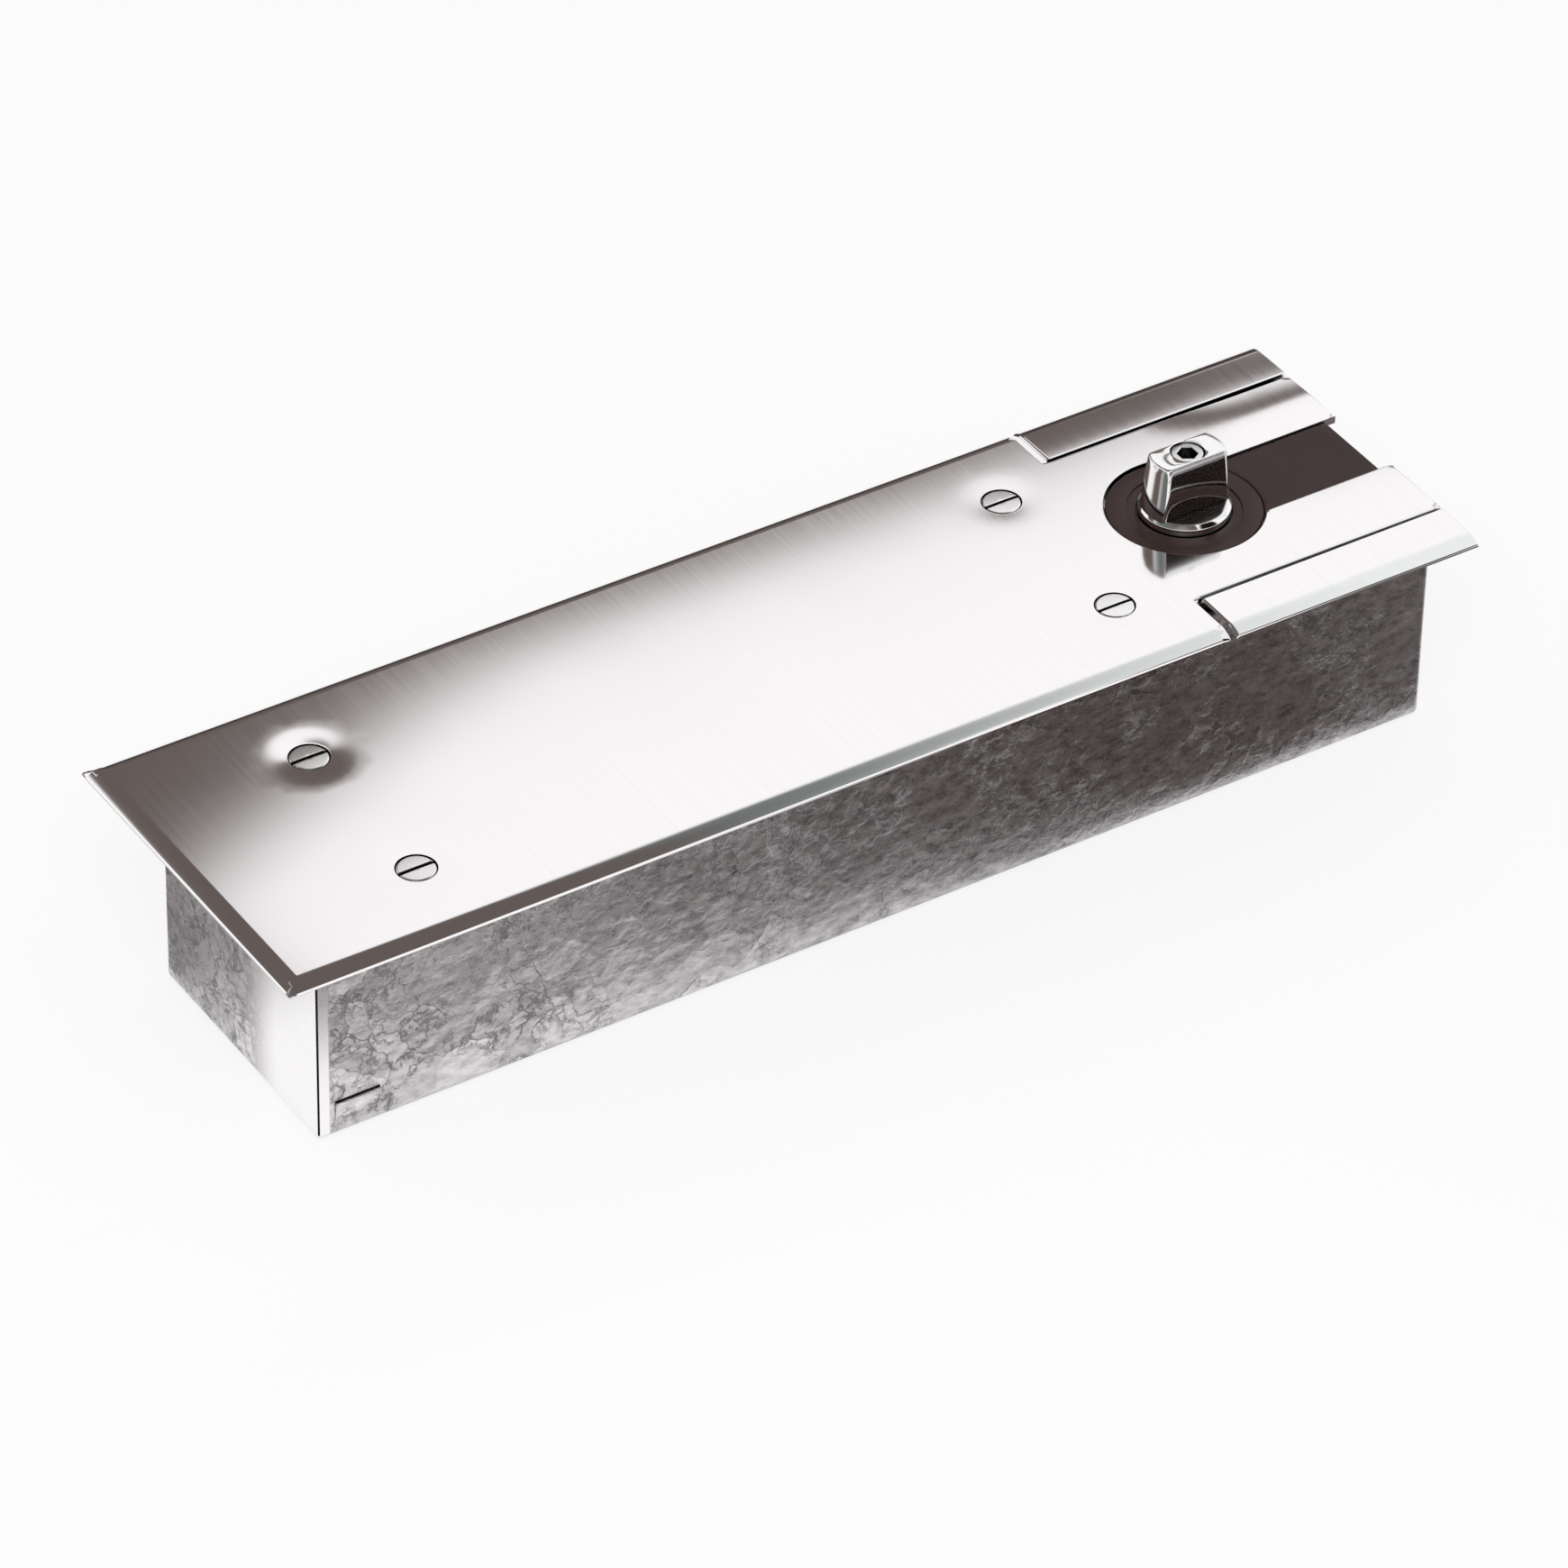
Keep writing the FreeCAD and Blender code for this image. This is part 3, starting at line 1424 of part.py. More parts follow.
def make_rod_nut():
    along = ("0", "bore_height")
    low = f"{HEAD_START} - rod_nut_height"
    high = f"{HEAD_START} + {OVERCUT}"
    return node(cut(
        "rod_nut",
        hexagon("rod_nut_hex", "rod_nut_width", low, HEAD_START, along, "x"),
        bar("rod_nut_thread", "rod_end_radius", f"{low} - {OVERCUT}", high, along, "x"),
    ))


def make_spring_seat():
    return node(tube(
        "spring_seat",
        "rod_radius + turning_gap",
        "spring_bore_radius - running_gap",
        SEAT_START,
        SEAT_END,
        ("0", "bore_height"),
        "x",
    ))


# Return springs

SPRING_INSET = "(spring_wire_radius + spring_free_play)"


def spring_shape(length):
    """A helical spring along Z, from the middle of its first wire to the middle of its last."""
    radius = size("spring_radius")
    wire_radius = size("spring_wire_radius")
    rise = length - 2 * (wire_radius + size("spring_free_play"))
    helix = Part.makeHelix(rise / size("spring_turns"), rise, radius)
    section = Part.Wire(Part.Circle(FreeCAD.Vector(radius, 0, 0), Y_AXIS, wire_radius).toShape())
    return Part.Wire(helix.Edges).makePipeShell([section], True, True)


def head_limits():
    """The numbers of the spring seat, the head and the plug along X."""
    spindle = size("cover_length") / 2 - size("spindle_inset")
    piston = spindle - size("piston_to_spindle") - size("piston_length")
    seat = piston - size("seat_to_piston") - size("seat_thickness")
    box_end = size("cover_length") / 2 - size("box_end_overhang")
    housing = box_end - size("box_length") + size("box_wall") + size("housing_end_gap")
    plug = housing + size("plug_depth")
    middle = (seat + plug) / 2
    return seat, middle + size("head_thickness") / 2, middle - size("head_thickness") / 2, plug


def make_springs():
    seat, head_end, head_start, plug = head_limits()
    for name, length, start in (
        ("return_spring_front", seat - head_end, HEAD_END),
        ("return_spring_rear", head_start - plug, PLUG_FACE),
    ):
        spring = doc.addObject("Part::Feature", name)
        spring.Shape = spring_shape(length)
        place(spring, f"{start} + {SPRING_INSET}", "0", "bore_height", "x")
        node(spring)


# End plug and its seal

def make_end_plug():
    along = ("0", "bore_height")
    groove_start = f"{HOUSING_START} + plug_groove_inset"
    outer_face = f"{HOUSING_START} - plug_flange_height"
    solid = join(
        "plug_blank",
        bar("plug_thread", "spring_bore_radius - running_gap", HOUSING_START, PLUG_FACE, along, "x"),
        bar("plug_flange", "plug_flange_radius", outer_face, HOUSING_START, along, "x"),
    )
    holes = [tube(
        "plug_groove",
        "spring_bore_radius - plug_ring_radius * 2 - running_gap * 4",
        f"spring_bore_radius + {OVERCUT}",
        groove_start,
        f"{groove_start} + plug_ring_radius * 2 + running_gap * 2",
        along,
        "x",
    )]
    for side, sign in SIDES.items():
        holes.append(bar(
            f"plug_pin_hole_{side}",
            "plug_pin_hole_radius",
            f"{outer_face} - {OVERCUT}",
            f"{outer_face} + plug_pin_hole_depth",
            (f"{sign} * plug_pin_hole_out", "bore_height"),
            "x",
        ))
    node(cut("end_plug", solid, *holes))
    node(hoop(
        "end_plug_seal",
        "spring_bore_radius - plug_ring_radius - running_gap * 2",
        "plug_ring_radius",
        f"{groove_start} + plug_ring_radius + running_gap",
        "0",
        "bore_height",
        "x",
    ))


# Speed valves

def make_valves():
    for name, at in valve_places():
        ring_height = f"{HOUSING_TOP} - valve_ring_down"
        ring_middle = "(valve_head_radius - valve_ring_radius)"
        blank = join(
            f"{name}_valve_blank",
            bar(f"{name}_valve_head", "valve_head_radius", f"{VALVE_NECK} + running_gap", HOUSING_TOP, at),
            bar(
                f"{name}_valve_needle",
                "valve_needle_radius",
                f"{VALVE_NECK} - valve_needle_length",
                f"{VALVE_NECK} + {OVERCUT}",
                at,
            ),
        )
        groove = tube(
            f"{name}_valve_groove",
            f"{ring_middle} - valve_ring_radius - running_gap",
            f"valve_head_radius + {OVERCUT}",
            f"{ring_height} - valve_ring_radius - running_gap",
            f"{ring_height} + valve_ring_radius + running_gap",
            at,
        )
        slot = block(
            f"{name}_valve_slot",
            (f"{at[0]} - valve_head_radius - {OVERCUT}", f"{at[0]} + valve_head_radius + {OVERCUT}"),
            (f"{at[1]} - valve_slot / 2", f"{at[1]} + valve_slot / 2"),
            (f"{HOUSING_TOP} - valve_slot_depth", f"{HOUSING_TOP} + {OVERCUT}"),
        )
        node(cut(f"{name}_valve", blank, groove, slot))
        node(hoop(f"{name}_valve_seal", ring_middle, "valve_ring_radius", at[0], at[1], ring_height))


make_cement_box()
make_cover_plate()
make_cover_screws()
make_side_strip("front")
make_side_strip("back")
make_strip_carriers()
make_slot_insert()
make_spindle_disc()
make_studs()
make_nuts("levelling_nuts", "(ear_foot - nut_height)")
make_ear_washers()
make_nuts("clamp_nuts", "(ear_foot + ear_thickness + washer_height)")
make_housing()
make_bearing(
    "upper_bearing",
    "upper_bearing_bore",
    "upper_bearing_outer",
    "upper_bearing_width",
    "upper_ball_radius",
    BEARING_SEAT,
    UPPER_BALL_COUNT,
)
make_bearing(
    "lower_bearing",
    "lower_bearing_bore",
    "lower_bearing_outer",
    "lower_bearing_width",
    "lower_ball_radius",
    LOWER_SEAT,
    LOWER_BALL_COUNT,
)
make_bearing_cap()
make_cap_screws()
make_shaft_seal()
make_spindle_shaft()
make_spindle_insert()
make_spindle_screw()
make_rack_piston()
make_piston_ring()
make_check_valves()
make_rod()
make_spring_head()
make_rod_nut()
make_spring_seat()
make_springs()
make_end_plug()
make_valves()
doc.recompute()

# Every object is sound before anything is written
for item in doc.Objects:
    if "Invalid" in item.State or "Error" in item.State:
        raise RuntimeError(item.Name + " failed: " + ", ".join(item.State))
for piece in nodes:
    if piece.Shape.isNull() or not piece.Shape.isValid():
        raise RuntimeError(piece.Label + " is not a sound solid")

os.makedirs("parts", exist_ok=True)
for piece in nodes:
    piece.Shape.exportStep(os.path.join("parts", piece.Label + ".step"))
    box = piece.Shape.BoundBox
    print(
        f"{piece.Label}: {len(piece.Shape.Solids)} solids, {piece.Shape.Volume:.0f} mm3,"
        f" x {box.XMin:.2f} to {box.XMax:.2f}, y {box.YMin:.2f} to {box.YMax:.2f},"
        f" z {box.ZMin:.2f} to {box.ZMax:.2f}"
    )
print(len(nodes), "nodes")
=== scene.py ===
import json
import math

import bpy
from mathutils import Matrix, Vector
from mathutils.geometry import delaunay_2d_cdt


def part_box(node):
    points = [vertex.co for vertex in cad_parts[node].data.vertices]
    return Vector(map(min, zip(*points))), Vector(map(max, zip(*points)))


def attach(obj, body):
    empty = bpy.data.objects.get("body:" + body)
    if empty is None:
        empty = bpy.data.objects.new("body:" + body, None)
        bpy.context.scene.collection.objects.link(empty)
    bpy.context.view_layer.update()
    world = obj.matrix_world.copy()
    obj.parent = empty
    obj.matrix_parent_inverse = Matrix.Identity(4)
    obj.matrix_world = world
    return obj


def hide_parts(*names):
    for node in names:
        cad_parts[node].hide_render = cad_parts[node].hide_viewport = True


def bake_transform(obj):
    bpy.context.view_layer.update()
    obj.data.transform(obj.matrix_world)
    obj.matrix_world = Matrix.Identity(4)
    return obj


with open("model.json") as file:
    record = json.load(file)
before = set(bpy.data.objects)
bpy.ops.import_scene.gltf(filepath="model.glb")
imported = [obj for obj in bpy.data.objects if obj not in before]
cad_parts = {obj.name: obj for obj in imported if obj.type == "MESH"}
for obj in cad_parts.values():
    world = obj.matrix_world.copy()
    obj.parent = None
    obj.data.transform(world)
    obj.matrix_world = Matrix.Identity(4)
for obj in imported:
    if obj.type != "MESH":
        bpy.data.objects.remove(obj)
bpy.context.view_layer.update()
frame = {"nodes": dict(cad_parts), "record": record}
nodes = frame["nodes"]

# Metres, Z up, X along the box. Sizes come from the frame's own boxes, and small ones are named here.
MM = 0.001

cover_low, cover_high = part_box("cover_plate")
strip_low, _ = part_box("side_strip_back")
screws_low, screws_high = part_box("cover_screws")
disc_low, disc_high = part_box("spindle_disc")
insert_low, insert_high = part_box("slot_insert")
blade_low, blade_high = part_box("spindle_insert")
socket_low, socket_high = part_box("spindle_screw")

AXIS_X = (disc_low.x + disc_high.x) / 2
DISC_RADIUS = (disc_high.x - disc_low.x) / 2

# Cover plate
RIM_WIDTH = 4.2 * MM
RIM_DROP = 1.85 * MM
RIM_CREASE = 0.35
EDGE_ROUND = 0.35 * MM
NOTCH_START = strip_low.x - 2.0 * MM
FINGER_EDGE = strip_low.y - 0.8 * MM
FINGER_ROUND = 0.8 * MM
FINGER_CROWN = 0.1 * MM
BACK_FINGER_CROWN = 0.55 * MM
NOTCH_BLEND = 2 * MM
CROWN_START = AXIS_X + 8 * MM
CROWN_FULL = AXIS_X + 45 * MM
SLOT_HALF = 12.8 * MM
HOLE_RADIUS = DISC_RADIUS + 0.6 * MM
SCREW_HOLE = 5.55 * MM
DISH_RADIUS = 14 * MM
DISH_DEPTH = 0.32 * MM
SHALLOW_DISH = 0.06 * MM

# Spacing of the points on the plate and the strips, and of the turns along their arcs
EDGE_STEP = 2.4 * MM
GRID_INSET = 6 * MM
GRID_STEP_X = 4 * MM
GRID_STEP_Y = 2.5 * MM
GRID_CLEAR = 2 * MM
DISH_RINGS = 11
DISH_RING_STEP = 0.65 * MM
STRIP_STEP = 0.6 * MM
HOLE_TURN = 0.05
HOLE_SIDES = 48

# Points beside an edge, as shares of its rounding or of the rim's width
EDGE_SHARES = (0.25, 0.5, 0.75, 1.0, 1.3)
FINGER_SHARES = (0.12, 0.25, 0.45, 0.7, 1.0, 1.5)
END_SHARES = (0, 0.15, 0.3, 0.45, 0.6, 0.8, 1.0, 1.3)
RIM_SHARES = (0.2, 0.4, 0.6, 0.8, 1.0, 1.15)

# Side strips, highest along the seam
STRIP_FALL = 0.2 * MM
END_ROUND = 0.9 * MM

# Cover screws
HEAD_RADIUS = 5.1 * MM
HEAD_CROWN = 0.05 * MM
HEAD_THICKNESS = 1.3 * MM
HEAD_EDGE_ROUND = 0.35 * MM
HEAD_INSETS = (0.09, 0.18, 0.27, 0.35, 0.8, 1.4, 2.1, 2.9, 3.7)
HEAD_SLOT = 0.45 * MM
HEAD_SLOT_DEPTH = 1.4 * MM
SLOT_EDGE_ROUND = 0.15 * MM
SLOT_INSETS = (0.05, 0.1, 0.15)
HEAD_TURN = 0.09
CHORD_STEP = 0.5 * MM
SHANK_RADIUS = 2.9 * MM
SHANK_CHAMFER = 0.4 * MM
screw_x = (screws_low.x + HEAD_RADIUS, screws_high.x - HEAD_RADIUS)
screw_y = (screws_low.y + HEAD_RADIUS, screws_high.y - HEAD_RADIUS)
SCREWS = [(x, y) for x in screw_x for y in screw_y]
DISHES = {at: DISH_DEPTH if at[0] < 0 < at[1] else SHALLOW_DISH for at in SCREWS}

# Lanced tab near the front left corner of the box
TAB_FROM_END = 4.9 * MM
TAB_LENGTH = 13.1 * MM
TAB_FOOT = 5.0 * MM
TAB_HEIGHT = 5.3 * MM
TAB_LEAN = 0.9 * MM
TAB_SHEET = 0.7 * MM
TAB_ROUND = 0.15 * MM
TAB_ROOT = 0.1 * MM

# Black disc and the strip in the slot
DISC_GAP = 0.3 * MM
DISC_STEP_RADIUS = 15.5 * MM
DISC_STEP_DEPTH = 0.4 * MM
DISC_ROUND = 0.25 * MM
SLOT_GAP = 0.2 * MM
SLOT_INSERT_STEP = 1.5 * MM
SLOT_GRID_X = 2.5 * MM
SLOT_GRID_Y = 2.1 * MM
SLOT_EDGE_INSETS = (0.08, 0.3)
DISC_TURN = 0.06
DISC_SIDES = 144
FLANGE_FROM_SPINDLE = 26 * MM

# Spindle piece and its screw
COLLAR_RADIUS = (blade_high.x - blade_low.x) / 2
COLLAR_TOP = disc_high.z + 2.8 * MM
COLLAR_CHAMFER = 1.1 * MM
COLLAR_HEIGHT = 3.8 * MM
COLLAR_SIDES = 128
SCREW_CLEARANCE = 3.1 * MM
DRIVE_HALF = 5.4 * MM
CONE_FOOT = 12.0 * MM
CONE_TOP = 10.4 * MM
FLAT_FOOT = 5.6 * MM
FLAT_TOP = 4.9 * MM
BLADE_ROUND = 0.6 * MM
TOP_ROUND = 0.5 * MM
BLADE_SUNK = 0.3 * MM
HEAD_ROOM = 4.65 * MM
ROOM_ROUND = 0.2 * MM
SOCKET_HEAD = (socket_high.x - socket_low.x) / 2
SOCKET_HEIGHT = 6 * MM
SOCKET_ROUND = 0.25 * MM
SOCKET_SHANK = 2.95 * MM
SOCKET_SIDES = 72
HEX_HALF = 2.5 * MM
HEX_DEPTH = 3.5 * MM

# Return springs, between the seat, the two faces of the spring head and the plug
SPRING_RADIUS = 13.5 * MM
SPRING_TURNS = 9
SPRING_PLAY = 0.05 * MM
STEPS_PER_TURN = 36
WIRE_RADIUS = 3 * MM
WIRE_SIDES = 12
BORE_HEIGHT = 31 * MM
SPRING_SEAT_X = 42 * MM
HEAD_FRONT_X = -42 * MM
HEAD_REAR_X = -52 * MM
PLUG_X = -136 * MM

# What the metal mirrors: a bright window in a dark frame, a dark spot and the floor with painted shade.
# In metres.
WHITE = (1, 1, 1)
DARK = (0.125, 0.105, 0.096)
DARK_SPOT = (0.008, 0.005, 0.004)
PAINTED_FLOOR_SHADE = (0.045, 0.024, 0.02)
PALE_FLOOR = (0.97, 0.97, 0.97)
WINDOW_HEIGHT = 0.6
WINDOW_LEFT = 0.195
WINDOW_LEAN = -0.1
WINDOW_BACK = 0.6395
WINDOW_SOFT = (-0.012, 0.036)
BACK_SHARPNESS = 3.0
CORNER_BLEND = 0.02
SLANT = math.radians(22.3)
SLANT_START = 0.4765
SPOT_MIDDLE = Vector((0.205, -0.13, 0.18))
SPOT_HALF = Vector((0.08, 0.0, 0.1))
BACK_WALL_HEIGHT = 0.62
FLOOR_CARD_HEIGHT = 0.4 * MM

# Camera, from the photograph's perspective. The focal length is in the photograph's own pixels.
CAMERA_AZIMUTH = math.radians(-33.387)
CAMERA_ELEVATION = math.radians(37.978)
CAMERA_ROLL = math.radians(1.299)
CAMERA_DISTANCE = 2.302
CAMERA_TARGET = Vector((-2.079 * MM, 0, 21.612 * MM))
FOCAL_PIXELS = 9793.0
PICTURE_PIXELS = 1740
SENSOR_WIDTH = 36


def smooth(share):
    """0 below 0, 1 above 1, and an even curve between."""
    share = min(max(share, 0.0), 1.0)
    return share * share * (3 - 2 * share)


def rounding(distance, radius):
    """How far a softly broken edge lies below its surface at a distance from the edge."""
    share = min(max(1 - distance / radius, 0.0), 1.0)
    depth = 0.6 * radius
    return depth * share ** 2


# Materials

class Graph:
    """A material with a Principled shader and a short way to add nodes."""

    def __init__(self, name, colour, metallic, roughness, **values):
        self.material = bpy.data.materials.new(name)
        self.material.use_nodes = True
        self.tree = self.material.node_tree
        self.shader = self.tree.nodes["Principled BSDF"]
        self.shader.inputs["Base Color"].default_value = (*colour, 1)
        self.shader.inputs["Metallic"].default_value = metallic
        self.shader.inputs["Roughness"].default_value = roughness
        for key, value in values.items():
            self.shader.inputs[key].default_value = value
        self.place = self.add("ShaderNodeTexCoord").outputs["Object"]

    def add(self, kind, links=None, **settings):
        """A node with settings by name, and links or values for its inputs."""
        node = self.tree.nodes.new(kind)
        for key, value in settings.items():
            setattr(node, key, value)
        for key, value in (links or {}).items():
            socket = node.inputs[key]
            if isinstance(value, bpy.types.NodeSocket):
                self.tree.links.new(value, socket)
            else:
                socket.default_value = value
        return node

    def axes(self):
        return self.add("ShaderNodeSeparateXYZ", {"Vector": self.place}).outputs

    def stretched(self, scale):
        mapping = self.add("ShaderNodeMapping", {"Vector": self.place, "Scale": scale})
        return mapping.outputs["Vector"]

    def bent(self, scale, amount):
        """Coordinates that wander by an amount in metres."""
        wander = self.add("ShaderNodeTexNoise", {"Vector": self.place, "Scale": scale, "Detail": 4.0})
        pull = self.vector("MULTIPLY", wander.outputs["Color"], (amount, amount, amount))
        return self.vector("ADD", self.place, pull)

    def noise(self, scale, detail, vector=None, roughness=0.5):
        vector = vector or self.place
        links = {"Vector": vector, "Scale": scale, "Detail": detail, "Roughness": roughness}
        return self.add("ShaderNodeTexNoise", links).outputs["Fac"]

    def cell_edges(self, scale, width, vector):
        """1 in cells and 0 along the lines between them."""
        links = {"Vector": vector, "Scale": scale}
        edges = self.add("ShaderNodeTexVoronoi", links, feature="DISTANCE_TO_EDGE")
        return self.step(edges.outputs["Distance"], 0.0, width)

    def cells(self, scale, vector):
        """A cone in each cell, so that sharp valleys part the cells, and a tone for each cell."""
        cells = self.add("ShaderNodeTexVoronoi", {"Vector": vector, "Scale": scale}).outputs
        tones = self.add("ShaderNodeSeparateColor", {"Color": cells["Color"]}).outputs
        return cells["Distance"], tones["Red"]

    def ramp(self, value, *stops):
        """Colours or greys at positions from 0 to 1."""
        node = self.add("ShaderNodeValToRGB", {"Fac": value})
        points = node.color_ramp.elements
        while len(points) < len(stops):
            points.new(0.5)
        for point, (position, colour) in zip(points, stops):
            point.position = position
            point.color = (*colour, 1) if isinstance(colour, tuple) else (colour, colour, colour, 1)
        return node.outputs["Color"]

    def math(self, operation, first, second=0.0, third=0.0):
        links = {0: first, 1: second, 2: third}
        return self.add("ShaderNodeMath", links, operation=operation).outputs[0]

    def times(self, first, second):
        return self.math("MULTIPLY", first, second)

    def minus(self, first, second):
        return self.math("SUBTRACT", first, second)

    def larger(self, first, second):
        return self.math("MAXIMUM", first, second)

    def mixed(self, share, first, second):
        """A colour that goes from the first to the second as the share goes from 0 to 1."""
        away = self.vector("MULTIPLY", self.minus(1.0, share), first)
        return self.vector("ADD", away, self.vector("MULTIPLY", share, second))

    def vector(self, operation, first, second):
        node = self.add("ShaderNodeVectorMath", {0: first, 1: second}, operation=operation)
        return node.outputs["Vector"]

    def step(self, value, start, end):
        """An even change from 0 at the start value to 1 at the end value."""
        links = {"Value": value, "From Min": start, "From Max": end}
        node = self.add("ShaderNodeMapRange", links, interpolation_type="SMOOTHSTEP")
        return node.outputs["Result"]

    def between(self, value, low, high):
        """A value from 0 to 1 spread between two numbers or values."""
        links = {"Value": value, "To Min": low, "To Max": high}
        return self.add("ShaderNodeMapRange", links).outputs["Result"]

    def colour(self, socket, painted_shade_reach=0.0):
        """The colour, with painted shade that darkens it in gaps narrower than the reach."""
        if painted_shade_reach:
            links = {"Distance": painted_shade_reach}
            # Painted shade: ambient occlusion darkens the colour in narrow gaps.
            seen = self.add("ShaderNodeAmbientOcclusion", links, samples=8).outputs["AO"]
            socket = self.vector("MULTIPLY", socket, self.ramp(seen, (0.3, 0.01), (0.7, 1.0)))
        self.tree.links.new(socket, self.shader.inputs["Base Color"])

    def roughness(self, socket):
        self.tree.links.new(socket, self.shader.inputs["Roughness"])

    def bump(self, height, distance, strength=1.0):
        links = {"Height": height, "Distance": distance, "Strength": strength}
        bump = self.add("ShaderNodeBump", links)
        self.tree.links.new(bump.outputs["Normal"], self.shader.inputs["Normal"])


def scaled(colour, factor):
    return tuple(factor * part for part in colour)


def brushed_metal(name, colour, roughness, grain=(700, 6, 700), painted_shade_reach=1.5 * MM):
    """Metal with a fine grain across the plate and a faint unevenness."""
    graph = Graph(name, colour, 1.0, roughness)
    streaks = graph.noise(scale=1.0, detail=4.0, vector=graph.stretched(grain))
    clouds = graph.noise(scale=22.0, detail=2.0)
    # Its colour has painted shade in gaps narrower than the reach.
    graph.colour(graph.ramp(streaks, (0.25, scaled(colour, 0.97)), (0.7, colour)), painted_shade_reach)
    uneven = graph.times(streaks, clouds)
    graph.roughness(graph.between(uneven, 0.8 * roughness, 1.5 * roughness))
    graph.bump(streaks, 0.002 * MM)
    return graph.material


def cast_metal(name, colour, roughness, scale=900.0, depth=0.12):
    """Metal with a fine, uneven skin."""
    graph = Graph(name, colour, 1.0, roughness)
    grain = graph.noise(scale, detail=5.0)
    clouds = graph.noise(scale=30.0, detail=3.0)
    graph.colour(graph.ramp(clouds, (0.3, scaled(colour, 0.72)), (0.7, colour)))
    graph.roughness(graph.between(grain, 0.8 * roughness, 1.25 * roughness))
    graph.bump(grain, depth * MM)
    return graph.material


def moulded(name, colour, roughness, shine=0.5):
    """Plastic or rubber with a fine grain."""
    graph = Graph(name, colour, 0.0, roughness, **{"Specular IOR Level": shine})
    grain = graph.noise(scale=1800.0, detail=3.0)
    clouds = graph.noise(scale=60.0, detail=2.0)
    # The colour has painted shade in gaps narrower than 1.5 mm.
    graph.colour(graph.ramp(clouds, (0.3, colour), (0.75, scaled(colour, 1.3))), 1.5 * MM)
    graph.roughness(graph.between(grain, 0.85 * roughness, 1.15 * roughness))
    graph.bump(grain, 0.02 * MM)
    return graph.material


def galvanised():
    """Zinc-coated sheet with a crumpled skin and painted shade along its creases, smooth and with a
    painted highlight beside the front left corner.
    """
    zinc = (0.80, 0.77, 0.78)
    painted_bright_zinc = (0.97, 0.95, 0.96)
    graph = Graph("galvanised_sheet", zinc, 0.92, 0.36)
    along, across, _ = graph.axes()
    # The smooth patch by the front left corner: no bump there, and a painted highlight in its colour.
    corner = graph.step(along, -161.4 * MM, -162.4 * MM)
    foremost = graph.step(across, 12 * MM, -22 * MM)
    plain = graph.times(corner, foremost)
    crumpled = graph.minus(1.0, plain)
    leftward = graph.between(graph.step(along, 40 * MM, -120 * MM), 0.3, 1.0)
    wide = graph.bent(scale=60.0, amount=24 * MM)
    close = graph.bent(scale=170.0, amount=9 * MM)
    facet_scale = 75.0
    cones, tones = graph.cells(facet_scale, wide)
    facets = graph.times(cones, leftward)
    small_facets, _ = graph.cells(210.0, close)
    flattened = graph.stretched((0.5, 1, 1))
    skin = graph.noise(scale=360.0, detail=8.0, vector=flattened, roughness=0.66)
    folds = graph.minus(1.0, graph.cell_edges(facet_scale, 0.035, wide))
    waves = graph.noise(scale=110.0, detail=6.0, vector=close, roughness=0.62)
    contour = graph.math("ABSOLUTE", graph.minus(waves, 0.5))
    creases = graph.step(contour, 0.03, 0.0)
    where = graph.step(graph.noise(scale=45.0, detail=3.0), 0.42, 0.58)
    there = graph.times(where, leftward)
    crease_grooves_and_painted_shade = graph.times(graph.math("ADD", folds, creases), there)
    height = graph.times(facets, 1.6)
    height = graph.math("ADD", height, graph.times(small_facets, 0.5))
    height = graph.math("ADD", height, graph.times(skin, 0.55))
    height = graph.minus(height, graph.times(crease_grooves_and_painted_shade, 0.35))
    flakes = graph.times(tones, leftward)
    tone = graph.math("ADD", skin, graph.times(flakes, 0.2))
    # Painted shade: the colour darkens along the folds and creases, which the bump also sinks in.
    tone = graph.minus(tone, graph.times(crease_grooves_and_painted_shade, 0.3))
    # Painted highlight: in the smooth patch the colour rises to the painted bright zinc.
    tone = graph.larger(tone, plain)
    toned = graph.ramp(
        tone,
        (0.3, scaled(zinc, 0.3)),
        (0.55, scaled(zinc, 0.66)),
        (0.8, zinc),
        (0.97, painted_bright_zinc),
    )
    # The colour has painted shade in gaps narrower than 1.5 mm.
    graph.colour(toned, 1.5 * MM)
    graph.roughness(graph.between(skin, 0.2, 0.36))
    graph.bump(height, 0.75 * MM, graph.times(crumpled, 0.8))
    return graph.material


MATERIALS = {
    "stainless_cover": brushed_metal("stainless_cover", (0.975, 0.945, 0.955), 0.095),
    "stainless_screw": brushed_metal("stainless_screw", (0.97, 0.945, 0.95), 0.18),
    "galvanised_sheet": galvanised(),
    "black_plastic": moulded("black_plastic", (0.030, 0.013, 0.011), 0.38, shine=0.35),
    "zinc_steel": cast_metal("zinc_steel", (0.66, 0.67, 0.68), 0.35, 1500.0, 0.03),
    "cast_housing": cast_metal("cast_housing", (0.34, 0.345, 0.35), 0.55),
    "bearing_steel": brushed_metal("bearing_steel", (0.72, 0.73, 0.75), 0.16),
    "brass_cage": cast_metal("brass_cage", (0.72, 0.50, 0.20), 0.3, 1500.0, 0.02),
    "seal_rubber": moulded("seal_rubber", (0.025, 0.025, 0.027), 0.6),
    # The socket screw's colour has painted shade in gaps up to 5 mm across, which darkens its hex
    # socket.
    "hardened_steel": brushed_metal("hardened_steel", (0.80, 0.79, 0.79), 0.2, painted_shade_reach=5 * MM),
    "bright_spindle": brushed_metal("bright_spindle", (0.95, 0.94, 0.94), 0.08, (500, 500, 30)),
    "piston_ring_plastic": moulded("piston_ring_plastic", (0.09, 0.06, 0.03), 0.4),
    "spring_steel": cast_metal("spring_steel", (0.20, 0.21, 0.24), 0.35, 1200.0, 0.03),
}


# Mesh makers

